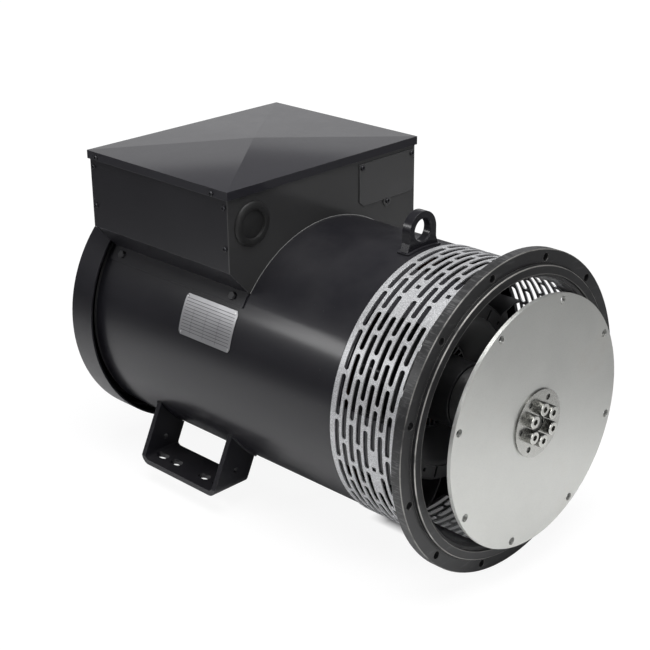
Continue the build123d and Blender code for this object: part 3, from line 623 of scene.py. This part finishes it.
def head_mesh(name, radius, height, sides, key_radius, key_sides, key_depth, crown=0.18, knurl=0.0):
    """Screw head along +Z from z = 0: rounded top rim, key recess, closed below, straight knurl if asked."""
    outline = [(radius, 0.0), (radius, height * (1 - crown)), (radius * 0.965, height * (1 - crown * 0.45)),
               (radius * 0.88, height)]
    maker = bmesh.new()
    rings = []
    for level, (r, z) in enumerate(outline):
        cut = knurl if level < 2 else 0.0
        rings.append([maker.verts.new((*spoke(r - cut * (k % 2), 2 * math.pi * k / sides), z))
                      for k in range(sides)])
    for first, second in zip(rings, rings[1:]):
        for k in range(sides):
            maker.faces.new((first[k], first[(k + 1) % sides], second[(k + 1) % sides], second[k]))
    maker.faces.new(list(reversed(rings[0])))
    if key_radius > 0:
        rim = [maker.verts.new((*spoke(key_radius, 2 * math.pi * k / key_sides), height))
               for k in range(key_sides)]
        floor = [maker.verts.new((v.co.x, v.co.y, height - key_depth)) for v in rim]
        for k in range(key_sides):
            maker.faces.new((rim[k], rim[(k + 1) % key_sides], floor[(k + 1) % key_sides], floor[k]))
        maker.faces.new(floor)
        outer_edges = [maker.edges.get((rings[-1][k], rings[-1][(k + 1) % sides])) for k in range(sides)]
        inner_edges = [maker.edges.get((rim[k], rim[(k + 1) % key_sides])) for k in range(key_sides)]
        bmesh.ops.bridge_loops(maker, edges=outer_edges + inner_edges)
    else:
        maker.faces.new(rings[-1])
    return to_mesh(name, maker, angle=32)


# --- Geometry Nodes ---
class Tree:
    """A Geometry Nodes tree with named inputs, built in a few calls."""

    def __init__(self, name, sockets):
        self.group = bpy.data.node_groups.new(name, "GeometryNodeTree")
        face = self.group.interface
        face.new_socket("Geometry", in_out="INPUT", socket_type="NodeSocketGeometry")
        face.new_socket("Geometry", in_out="OUTPUT", socket_type="NodeSocketGeometry")
        self.ids = {}
        for label, kind in sockets.items():
            socket = face.new_socket(label, in_out="INPUT", socket_type="NodeSocket" + kind)
            self.ids[label] = socket.identifier
        self.source = self.group.nodes.new("NodeGroupInput")
        self.sink = self.group.nodes.new("NodeGroupOutput")

    def node(self, kind, settings=None, inputs=None):
        """Adds a node: settings first, then values or (node, output) links."""
        node = self.group.nodes.new(kind)
        for name, setting in (settings or {}).items():
            setattr(node, name, setting)
        for key, value in (inputs or {}).items():
            if isinstance(value, tuple) and len(value) == 2 and hasattr(value[0], "outputs"):
                self.group.links.new(value[0].outputs[value[1]], node.inputs[key])
            else:
                node.inputs[key].default_value = value
        return node

    def close(self, geometry):
        """Ends the tree in Realize Instances and Set Material."""
        real = self.node("GeometryNodeRealizeInstances", None, {"Geometry": geometry})
        painted = self.node("GeometryNodeSetMaterial", None, {
            "Geometry": (real, "Geometry"), "Material": (self.source, "Material")})
        self.group.links.new(painted.outputs[0], self.sink.inputs[0])


def grow(name, base_mesh, tree, values):
    """Runs a tree on a mesh and returns the result as a plain mesh object."""
    source = mesh_object(name + "_source", base_mesh)
    modifier = source.modifiers.new("Repeat", "NODES")
    modifier.node_group = tree.group
    for label, value in values.items():
        modifier[tree.ids[label]] = value
    graph = bpy.context.evaluated_depsgraph_get()
    graph.update()
    mesh = bpy.data.meshes.new_from_object(source.evaluated_get(graph), depsgraph=graph)
    source.modifiers.remove(modifier)
    bpy.data.objects.remove(source)
    mesh.name = name
    return mesh_object(name, mesh)


def heads_tree():
    """Tree that stands one head on every point, turned to the point's facing."""
    tree = Tree("heads_on_points", {"Head": "Object", "Turn seed": "Int", "Material": "Material"})
    head = tree.node("GeometryNodeObjectInfo", None, {"Object": (tree.source, "Head")})
    facing = tree.node("GeometryNodeInputNamedAttribute", {"data_type": "FLOAT_VECTOR"}, {"Name": "facing"})
    aim = tree.node("FunctionNodeAlignEulerToVector", {"axis": "Z"}, {"Vector": (facing, 0)})
    spin = tree.node("FunctionNodeRandomValue", {"data_type": "FLOAT"}, {
        "Seed": (tree.source, "Turn seed"), 2: 0.0, 3: 6.283})
    points = tree.node("GeometryNodeInstanceOnPoints", None, {
        "Points": (tree.source, "Geometry"), "Instance": (head, "Geometry"), "Rotation": (aim, 0)})
    turn = tree.node("ShaderNodeCombineXYZ", None, {2: (spin, 1)})
    turned = tree.node("GeometryNodeRotateInstances", None, {
        "Instances": (points, "Instances"), "Rotation": (turn, 0)})
    tree.close((turned, "Instances"))
    return tree


def ring_tree():
    """Tree that lays rounded ripples round a circle across the shaft."""
    tree = Tree("ripples_round_the_frame", {
        "Circle radius": "Float", "Position": "Float", "Pitch": "Float", "Ripple radius": "Float",
        "Ripple lean": "Float", "Seed": "Int", "Material": "Material"})
    circle = tree.node("GeometryNodeCurvePrimitiveCircle", None, {
        "Resolution": 96, "Radius": (tree.source, "Circle radius")})
    points = tree.node("GeometryNodeCurveToPoints", {"mode": "LENGTH"}, {
        "Curve": (circle, "Curve"), "Length": (tree.source, "Pitch")})
    ball = tree.node("GeometryNodeMeshIcoSphere", None, {
        "Radius": (tree.source, "Ripple radius"), "Subdivisions": 2})
    smooth = tree.node("GeometryNodeSetShadeSmooth", None, {"Geometry": (ball, "Mesh")})
    size = tree.node("FunctionNodeRandomValue", {"data_type": "FLOAT"}, {
        "Seed": (tree.source, "Seed"), 2: 0.86, 3: 1.10})
    scale = tree.node("ShaderNodeCombineXYZ", None, {
        0: (size, 1), 1: (tree.source, "Ripple lean"), 2: (size, 1)})
    copies = tree.node("GeometryNodeInstanceOnPoints", None, {
        "Points": (points, "Points"), "Instance": (smooth, "Geometry"),
        "Rotation": (points, "Rotation"), "Scale": (scale, 0)})
    place = tree.node("ShaderNodeCombineXYZ", None, {0: (tree.source, "Position")})
    moved = tree.node("GeometryNodeTransform", None, {
        "Geometry": (copies, "Instances"), "Translation": (place, 0), "Rotation": (0.0, math.pi / 2, 0.0)})
    tree.close((moved, "Geometry"))
    return tree


def facing_points(name, places):
    """Point mesh with a facing vector for each point."""
    mesh = bpy.data.meshes.new(name)
    mesh.from_pydata([place for place, facing in places], [], [])
    layer = mesh.attributes.new("facing", "FLOAT_VECTOR", "POINT")
    layer.data.foreach_set("vector", [number for place, facing in places for number in facing])
    return mesh


def stand_heads(name, places, head, material, body, nodes, seed=3):
    """Screw heads on points, as one plain mesh that stands for CAD nodes."""
    pattern = mesh_object(name + "_pattern", head)
    piece = grow(name, facing_points(name + "_points", places), heads_tree(), {
        "Head": pattern, "Turn seed": seed, "Material": material})
    bpy.data.objects.remove(pattern)
    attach(piece, body)
    if nodes:
        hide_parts(*nodes)
    return piece


def middles_of(node):
    """Middle of the box of each separate solid of a CAD node."""
    maker = bmesh.new()
    maker.from_mesh(frame["nodes"][node].data)
    bmesh.ops.remove_doubles(maker, verts=maker.verts, dist=1e-6)
    seen = set()
    middles = []
    for start in maker.verts:
        if start in seen:
            continue
        seen.add(start)
        stack = [start]
        group = []
        while stack:
            vert = stack.pop()
            group.append(vert.co.copy())
            for edge in vert.link_edges:
                other = edge.other_vert(vert)
                if other not in seen:
                    seen.add(other)
                    stack.append(other)
        low, high = (Vector([pick(p[i] for p in group) for i in range(3)]) for pick in (min, max))
        middles.append((low + high) / 2)
    maker.free()
    return middles


def on_frame(x, y, side):
    """Point sunk a little into the frame's top (side 1) or bottom (side -1), and its facing."""
    z = side * math.sqrt(FRAME_RADIUS ** 2 - y ** 2)
    return (x, y, z - side * 0.0004), (0.0, y / FRAME_RADIUS, z / FRAME_RADIUS)


# --- Operators ---
class Step:
    """One step of the build, with the scene, its sizes and its colours at hand."""

    def execute(self, context):
        scene = context.scene
        self.build(scene, scene.alternator_sizes, scene.alternator_colours)
        return {"FINISHED"}


class PaintFrame(Step, bpy.types.Operator):
    """Paints the rolled frame, feet, eye, cap and terminal box"""

    bl_idname = "alternator.paint_frame"
    bl_label = "Paint the frame and the box"

    def build(self, scene, sizes, colours):
        paint = painted_steel("frame_paint", colours.paint, 0.36, sizes.edge_round)
        # painted light: the lid gets a lighter copy of the frame's paint, for the light its top catches
        lid = painted_steel(
            "lid_paint_lit", [c * 1.5 for c in colours.paint], 0.50, sizes.edge_round, 0.00005, coat_rough=0.07)
        dress(["frame_shell", "lifting_eye", "foot_far", "foot_near", "rear_cap", "box_rear_panel",
               "box_side_far", "box_side_near", "box_skirt_far", "box_skirt_near"], paint)
        dress(["box_lid"], lid)
        # painted light: the front panel and the cover get lighter copies of the box's paint, for the light they
        # catch from the front
        dress(["box_front_panel"], painted_steel(
            "panel_paint_lit", colours.panel, 0.42, sizes.edge_round, highlight_arch=PLATE_SEAT + ARCH_HIGHLIGHT_WIDTH, coat_ior=2.1))
        dress(["regulator_cover"], painted_steel(
            "cover_paint", [c * 1.4 for c in colours.panel], 0.42, sizes.edge_round, coat_ior=2.3))


class FinishFlange(Step, bpy.types.Operator):
    """Finishes the bolting flange"""

    bl_idname = "alternator.finish_flange"
    bl_label = "Finish the flange"

    def build(self, scene, sizes, colours):
        dress(["adaptor_ring"], machined_paint("flange_paint", colours.flange))


class FinishScreen(Step, bpy.types.Operator):
    """Finishes the slotted air screen"""

    bl_idname = "alternator.finish_screen"
    bl_label = "Finish the air screen"

    def build(self, scene, sizes, colours):
        dress(["air_screen"], galvanised("screen_zinc", colours.zinc))


class FinishCoupling(Step, bpy.types.Operator):
    """Finishes the coupling discs, the clamp ring and the shaft"""

    bl_idname = "alternator.finish_coupling"
    bl_label = "Finish the coupling"

    def build(self, scene, sizes, colours):
        dress(["coupling_discs"], rolled_steel("disc_steel", colours.disc))
        # the last value paints shade on the clamp ring's sides
        dress(["clamp_ring"], plated_steel("clamp_steel", (0.56, 0.56, 0.53), 0.26, 1.0, 0.7))
        dress(["shaft"], plated_steel("shaft_steel", (0.30, 0.30, 0.30), 0.34, 0.9))


class FinishInside(Step, bpy.types.Operator):
    """Finishes the windings, cores, end shield, bearing, bolts and electrical pieces inside"""

    bl_idname = "alternator.finish_inside"
    bl_label = "Finish the inner pieces"

    def build(self, scene, sizes, colours):
        dress(["stator_core", "rotor_core", "exciter_stator", "exciter_rotor"],
              laminated("laminations", (0.22, 0.22, 0.22)))
        dress(["winding_front", "winding_rear", "field_coils"], wound_wire("winding_varnish", colours.copper))
        dress(["end_shield"], cast_surface("shield_iron", (0.05, 0.05, 0.052)))
        dress(["bearing_outer_ring", "bearing_inner_ring", "bearing_balls"],
              plated_steel("bearing_steel", (0.62, 0.62, 0.62), 0.12, 1.0))
        dress(["bearing_cage", "terminal_studs"], plated_steel("brass", (0.60, 0.42, 0.18), 0.26, 1.0))
        dress(["diode_bridge"], plated_steel("heat_sink", (0.60, 0.60, 0.61), 0.42, 0.9))
        dress(["terminal_board"], dull_solid("board_plastic", (0.022, 0.022, 0.022), 0.5))
        dress(["voltage_regulator"], dull_solid("regulator_resin", (0.014, 0.014, 0.015), 0.35))
        dress(["shield_bolts", "cap_bolts"], plated_steel("zinc_bolts", (0.52, 0.52, 0.50), 0.32, 0.95))


class AddWelds(Step, bpy.types.Operator):
    """Lays the rippled welds at the flange, the eye and the feet, and the seal behind the screen"""

    bl_idname = "alternator.add_welds"
    bl_label = "Add the weld beads"

    def build(self, scene, sizes, colours):
        paint = painted_steel("weld_paint", [c * 1.3 for c in colours.paint], 0.40, 0.0004)
        bead = grow("flange_weld", bpy.data.meshes.new("flange_weld_base"), ring_tree(), {
            "Circle radius": FRAME_RADIUS + 0.0018, "Position": FLANGE_LOW.x - 0.0021,
            "Pitch": sizes.bead_pitch, "Ripple radius": sizes.bead_radius, "Ripple lean": 0.62,
            "Seed": 5, "Material": paint})
        tacks = grow("screen_tacks", bpy.data.meshes.new("screen_tacks_base"), ring_tree(), {
            "Circle radius": FRAME_RADIUS + 0.0006, "Position": SCREEN_LOW.x - 0.0008,
            "Pitch": sizes.tack_pitch, "Ripple radius": sizes.tack_radius, "Ripple lean": 1.0,
            "Seed": 9, "Material": paint})
        for piece in (bead, tacks):
            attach(piece, "frame_body")
        middle = (EYE_LOW + EYE_HIGH) / 2
        half_x = (EYE_HIGH.x - EYE_LOW.x) / 2 + 0.0012
        half_y = (EYE_HIGH.y - EYE_LOW.y) / 2 - 0.0010
        seats = []
        for k in range(27):
            y = -half_y + 2 * half_y * k / 26
            seats += [on_frame(middle.x + side * half_x, y, 1) for side in (-1.0, 1.0)]
        for k in range(1, 6):
            x = middle.x - half_x + 2 * half_x * k / 6
            seats += [on_frame(x, side * (half_y + 0.0004), 1) for side in (-1.0, 1.0)]
        for node in ("foot_near", "foot_far"):
            low, high = corners(node)
            sign = 1.0 if low.y > 0 else -1.0
            for x in (low.x - 0.0006, high.x + 0.0006):
                seats += [on_frame(x, sign * (0.119 + 0.0023 * k), -1) for k in range(19)]
        ripple = head_mesh("ripple", 0.0029, 0.0030, 14, 0.0, 6, 0.0, 0.85)
        stand_heads("frame_welds", seats, ripple, paint, "frame_body", [], 7)


class AddScrews(Step, bpy.types.Operator):
    """Stands rounded screw heads in place of the box's plain screws"""

    bl_idname = "alternator.add_screws"
    bl_label = "Add the box screws"

    def build(self, scene, sizes, colours):
        dark = plated_steel("box_screw_dark", (0.045, 0.045, 0.05), 0.30, 0.6)
        black = plated_steel("box_screw_black", (0.05, 0.05, 0.052), 0.38, 0.5)
        side = []
        for node, seat in (("lid_screws", LID_HIGH.y), ("panel_screws", PANEL_HIGH.y)):
            for middle in middles_of(node):
                sign = 1.0 if middle.y > 0 else -1.0
                side.append(((middle.x, sign * seat, middle.z), (0.0, sign, 0.0)))
        pan = head_mesh("pan_head", sizes.pan_radius, 0.0024, 24, 0.0021, 6, 0.0012, 0.5)
        stand_heads("box_screws", side, pan, dark, "frame_body", ["lid_screws", "panel_screws"])
        front = [((PANEL_HIGH.x + 0.0015, middle.y, middle.z), (1.0, 0.0, 0.0))
                 for middle in middles_of("cover_screws")]
        pan = head_mesh("cover_head", 0.0038, 0.0023, 24, 0.0020, 6, 0.0012, 0.5)
        stand_heads("cover_screw_heads", front, pan, dark, "frame_body", ["cover_screws"])
        skirt = []
        reach = SCREEN_HIGH.z + 0.0001
        for middle in middles_of("skirt_screws"):
            out = Vector((0.0, middle.y, middle.z)).normalized()
            skirt.append(((middle.x, out.y * reach, out.z * reach), (0.0, out.y, out.z)))
        hexagon = head_mesh("hex_head", sizes.hex_radius, 0.0039, 6, 0.0, 6, 0.0, 0.25)
        stand_heads("skirt_screw_heads", skirt, hexagon, black, "frame_body", ["skirt_screws"])


class AddCouplingScrews(Step, bpy.types.Operator):
    """Stands chamfered socket heads on the clamp ring"""

    bl_idname = "alternator.add_coupling_screws"
    bl_label = "Add the coupling screws"

    def build(self, scene, sizes, colours):
        # the last value paints shade on the screw heads' sides
        steel = plated_steel("cap_screw_steel", (0.70, 0.70, 0.66), 0.24, 1.0, 0.66)
        places = []
        for k in range(sizes.clamp_count):
            angle = math.radians(30 + 360 * k / sizes.clamp_count)
            places.append(((CLAMP_HIGH.x, *spoke(sizes.clamp_circle, angle)), (1.0, 0.0, 0.0)))
        head = head_mesh("socket_head", sizes.cap_head_radius, sizes.cap_head_height,
                         72, 0.0044, 6, 0.0055, 0.14, 0.0003)
        stand_heads("coupling_screw_heads", places, head, steel,
                    "rotor", ["coupling_screws"], 11)


class AddFan(Step, bpy.types.Operator):
    """Makes the moulded fan: hub, windowed web, drilled front ring, blades and back plate"""

    bl_idname = "alternator.add_fan"
    bl_label = "Add the fan"

    def build(self, scene, sizes, colours):
        # the last value makes the painted edge highlight strong on the fan
        black = dull_solid("fan_plastic", (0.022, 0.022, 0.023), 0.36, 260.0, 0.00006, 1.0)
        back, front, rim = FAN_LOW.x, FAN_HIGH.x, FAN_HIGH.z
        maker = bmesh.new()
        polar_ring(maker, [
            (back, 0.0402), (back, 0.0475), (front - 0.0010, 0.0475), (front, 0.0465), (front, 0.0402)])
        windows = sizes.fan_windows
        steps = [360.0 * (k // 2 + (0.0 if k % 2 == 0 else 0.28)) / windows for k in range(2 * windows + 1)]
        web = [(back + 0.008, 0.0470), (back + 0.008, 0.0490), (back + 0.010, 0.0600), (back + 0.011, 0.0625)]
        polar_plate(maker, web, steps, 0.004, lambda ring, step: ring == 1 and step % 2 == 1)
        polar_ring(maker, [
            (back + 0.007, 0.0622), (back + 0.012, 0.0622), (back + 0.015, 0.0660), (back + 0.040, 0.1000),
            (back + 0.042, 0.1040), (back + 0.042, 0.1270), (back + 0.039, 0.1285), (back + 0.038, 0.1050),
            (back + 0.036, 0.1010), (back + 0.009, 0.0660)])
        span = 360.0 / sizes.fan_pads
        for n in range(sizes.fan_pads):
            start = n * span
            cuts = [start + span * part for part in (0.04, 0.20, 0.36, 0.45, 0.55, 0.64, 0.80, 0.96)]
            pad = [(back + 0.045, radius) for radius in (0.1075, 0.1130, 0.1180, 0.1235)]
            polar_plate(maker, pad, cuts, 0.0035, lambda ring, step: ring == 1 and step == 3)
        polar_ring(maker, [(back, 0.0620), (back, rim), (back + 0.003, rim), (back + 0.003, 0.0620)])
        for k in range(sizes.fan_blades):
            start = 360.0 * k / sizes.fan_blades
            bend = [(0.1200, 0.0), (0.1380, 1.5), (0.1560, 4.0), (rim - 0.001, 7.5)]
            rows = []
            for radius, lag in bend:
                half = math.degrees(0.0015 / radius)
                rows.append([(radius, math.radians(start - lag + side)) for side in (-half, half)])
            low, high = ([[maker.verts.new((x, *spoke(r, a))) for r, a in pair] for pair in rows]
                         for x in (back + 0.001, back + 0.040))
            for i in range(len(rows) - 1):
                for side in (0, 1):
                    maker.faces.new((low[i][side], high[i][side], high[i + 1][side], low[i + 1][side]))
                for level in (low, high):
                    maker.faces.new((level[i][0], level[i][1], level[i + 1][1], level[i + 1][0]))
            for i in (0, len(rows) - 1):
                maker.faces.new((low[i][0], low[i][1], high[i][1], high[i][0]))
        piece = mesh_object("moulded_fan", to_mesh("moulded_fan", maker, black))
        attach(piece, "rotor")
        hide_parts("fan")


class AddGrommet(Step, bpy.types.Operator):
    """Makes the ribbed rubber grommet on the box's front panel"""

    bl_idname = "alternator.add_grommet"
    bl_label = "Add the grommet"

    def build(self, scene, sizes, colours):
        rubber = dull_solid("grommet_rubber", colours.rubber, 0.52, 420.0)
        centre = (GROMMET_LOW + GROMMET_HIGH) / 2
        face = PANEL_HIGH.x
        outer = (GROMMET_HIGH.z - GROMMET_LOW.z) / 2
        profile = [(-0.0025, 0.0), (-0.0025, 0.0262), (0.0, 0.0264), (0.0, outer - 0.0008), (0.0012, outer),
                   (0.0028, outer - 0.0009), (0.0040, outer - 0.0028), (0.0047, outer - 0.0060),
                   (0.0050, 0.0222), (0.0046, 0.0209), (0.0016, 0.0202), (0.0018, 0.0190), (0.0027, 0.0140),
                   (0.0035, 0.0080), (0.0039, 0.0)]
        piece = lathe("grommet", profile, (face, centre.y, centre.z), rubber)
        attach(piece, "frame_body")
        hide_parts("cable_grommet")


class AddPlate(Step, bpy.types.Operator):
    """Makes the curved rating plate with empty ruled fields and four rivets"""

    bl_idname = "alternator.add_plate"
    bl_label = "Add the rating plate"

    def build(self, scene, sizes, colours):
        inner = PLATE_SEAT
        face_radius = inner + 0.0007
        first = math.asin(PLATE_LOW.z / inner)
        last = math.asin(min(PLATE_HIGH.z / (inner + 0.0008), 1.0))
        columns, rows = 24, 14
        corner = 0.0035
        maker = bmesh.new()
        grid = []
        for j in range(rows + 1):
            angle = first + (last - first) * j / rows
            edge = min(j, rows - j) / rows
            inset = corner * (1 - min(edge * 9, 1.0)) ** 2
            line = []
            for i in range(columns + 1):
                x = PLATE_LOW.x + inset + (PLATE_HIGH.x - PLATE_LOW.x - 2 * inset) * i / columns
                line.append(maker.verts.new((x, -face_radius * math.cos(angle), face_radius * math.sin(angle))))
            grid.append(line)
        layer = maker.loops.layers.uv.new("plate")
        for j in range(rows):
            for i in range(columns):
                face = maker.faces.new((grid[j][i], grid[j][i + 1], grid[j + 1][i + 1], grid[j + 1][i]))
                for loop, (a, b) in zip(face.loops, ((i, j), (i + 1, j), (i + 1, j + 1), (i, j + 1))):
                    loop[layer].uv = (a / columns, b / rows)
        bmesh.ops.recalc_face_normals(maker, faces=maker.faces)
        if sum(face.normal.dot(face.calc_center_median() * Vector((0, 1, 1))) for face in maker.faces) < 0:
            bmesh.ops.reverse_faces(maker, faces=maker.faces)
        bmesh.ops.solidify(maker, geom=maker.faces[:], thickness=0.0006)
        mesh = to_mesh("plate_face", maker, ruled_plate("plate_print"), outward=False)
        piece = mesh_object("plate_face", mesh)
        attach(piece, "frame_body")
        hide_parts("rating_plate")
        places = []
        for x in (PLATE_LOW.x + 0.004, PLATE_HIGH.x - 0.004):
            for angle in (first + 0.018, last - 0.018):
                out = (0.0, -math.cos(angle), math.sin(angle))
                places.append(((x, out[1] * (inner + 0.0006), out[2] * (inner + 0.0006)), out))
        rivet = head_mesh("rivet_head", 0.0017, 0.0009, 16, 0.0, 6, 0.0, 0.7)
        stand_heads("plate_rivets", places, rivet, plated_steel("rivet_metal", (0.6, 0.6, 0.6), 0.3),
                    "frame_body", [], 2)


class BuildStage(Step, bpy.types.Operator):
    """Sets the pale floor, the soft lights, the world and the camera"""

    bl_idname = "alternator.build_stage"
    bl_label = "Build the stage"

    def build(self, scene, sizes, colours):
        scene.view_settings.view_transform = "Standard"
        ground = min(CAD_BOX[0][2], FLANGE_LOW.z) - 0.0005
        mesh = bpy.data.meshes.new("floor")
        reach = 9.0
        mesh.from_pydata([(-reach, -reach, ground), (reach, -reach, ground), (reach, reach, ground),
                          (-reach, reach, ground)], [], [(0, 1, 2, 3)])
        mesh.materials.append(studio_floor("studio_floor", colours.floor))
        floor = mesh_object("floor", mesh)
        world = bpy.data.worlds.new("studio")
        scene.world = world
        world.use_nodes = True
        tree = world.node_tree
        sky = tree.nodes["Background"]
        sky.inputs["Strength"].default_value = 1.0
        rays = tree.nodes.new("ShaderNodeLightPath")
        mix = tree.nodes.new("ShaderNodeMix")
        mix.data_type = "RGBA"
        mix.inputs[6].default_value = (0.13, 0.13, 0.14, 1.0)
        mix.inputs[7].default_value = grey(1.0)
        tree.links.new(rays.outputs["Is Camera Ray"], mix.inputs[0])
        tree.links.new(mix.outputs[2], sky.inputs["Color"])
        for setting in LAMPS:
            self.lamp(*setting)
        self.camera(scene)

    def lamp(self, name, place, target, width, height, power):
        """Soft rectangular lamp that looks at a point."""
        light = bpy.data.lights.new(name, "AREA")
        light.shape = "RECTANGLE"
        light.size = width
        light.size_y = height
        light.energy = power
        lamp = bpy.data.objects.new(name, light)
        lamp.location = place
        lamp.rotation_euler = (Vector(target) - Vector(place)).to_track_quat("-Z", "Y").to_euler()
        bpy.context.scene.collection.objects.link(lamp)

    def camera(self, scene):
        """Camera at its azimuth, elevation and small roll."""
        azimuth, elevation, roll = (math.radians(turn) for turn in CAMERA_TURN)
        back = Vector((math.sin(azimuth) * math.cos(elevation), -math.cos(azimuth) * math.cos(elevation),
                       math.sin(elevation)))
        right = Vector((0, 0, 1)).cross(back).normalized()
        up = back.cross(right)
        level = right * math.cos(roll) + up * math.sin(roll)
        head = up * math.cos(roll) - right * math.sin(roll)
        lens = bpy.data.cameras.new("camera")
        lens.lens = CAMERA_LENS
        lens.sensor_width = 36.0
        lens.clip_end = 50.0
        camera = bpy.data.objects.new("camera", lens)
        camera.matrix_world = Matrix.Translation(CAMERA_PLACE) @ Matrix(
            (level, head, back)).transposed().to_4x4()
        scene.collection.objects.link(camera)
        scene.camera = camera


class AlternatorPanel(bpy.types.Panel):
    """Lists the steps and their sizes in the sidebar"""

    bl_idname = "VIEW3D_PT_alternator"
    bl_label = "Alternator head"
    bl_space_type = "VIEW_3D"
    bl_region_type = "UI"
    bl_category = "Alternator"

    def draw(self, context):
        for step in STEPS:
            self.layout.operator(step.bl_idname)
        scene = context.scene
        for group in (scene.alternator_sizes, scene.alternator_colours):
            for name in group.bl_rna.properties.keys():
                if name not in {"rna_type", "name"}:
                    self.layout.prop(group, name)


STEPS = (PaintFrame, FinishFlange, FinishScreen, FinishCoupling, FinishInside, AddWelds, AddScrews,
         AddCouplingScrews, AddFan, AddGrommet, AddPlate, BuildStage)


def register():
    for kind in (AlternatorSizes, AlternatorColours, *STEPS, AlternatorPanel):
        bpy.utils.register_class(kind)
    bpy.types.Scene.alternator_sizes = PointerProperty(type=AlternatorSizes)
    bpy.types.Scene.alternator_colours = PointerProperty(type=AlternatorColours)


def unregister():
    del bpy.types.Scene.alternator_colours
    del bpy.types.Scene.alternator_sizes
    for kind in reversed((AlternatorSizes, AlternatorColours, *STEPS, AlternatorPanel)):
        bpy.utils.unregister_class(kind)


def main():
    register()
    for step in STEPS:
        group, name = step.bl_idname.split(".")
        getattr(getattr(bpy.ops, group), name)()


if __name__ == "__main__":
    main()
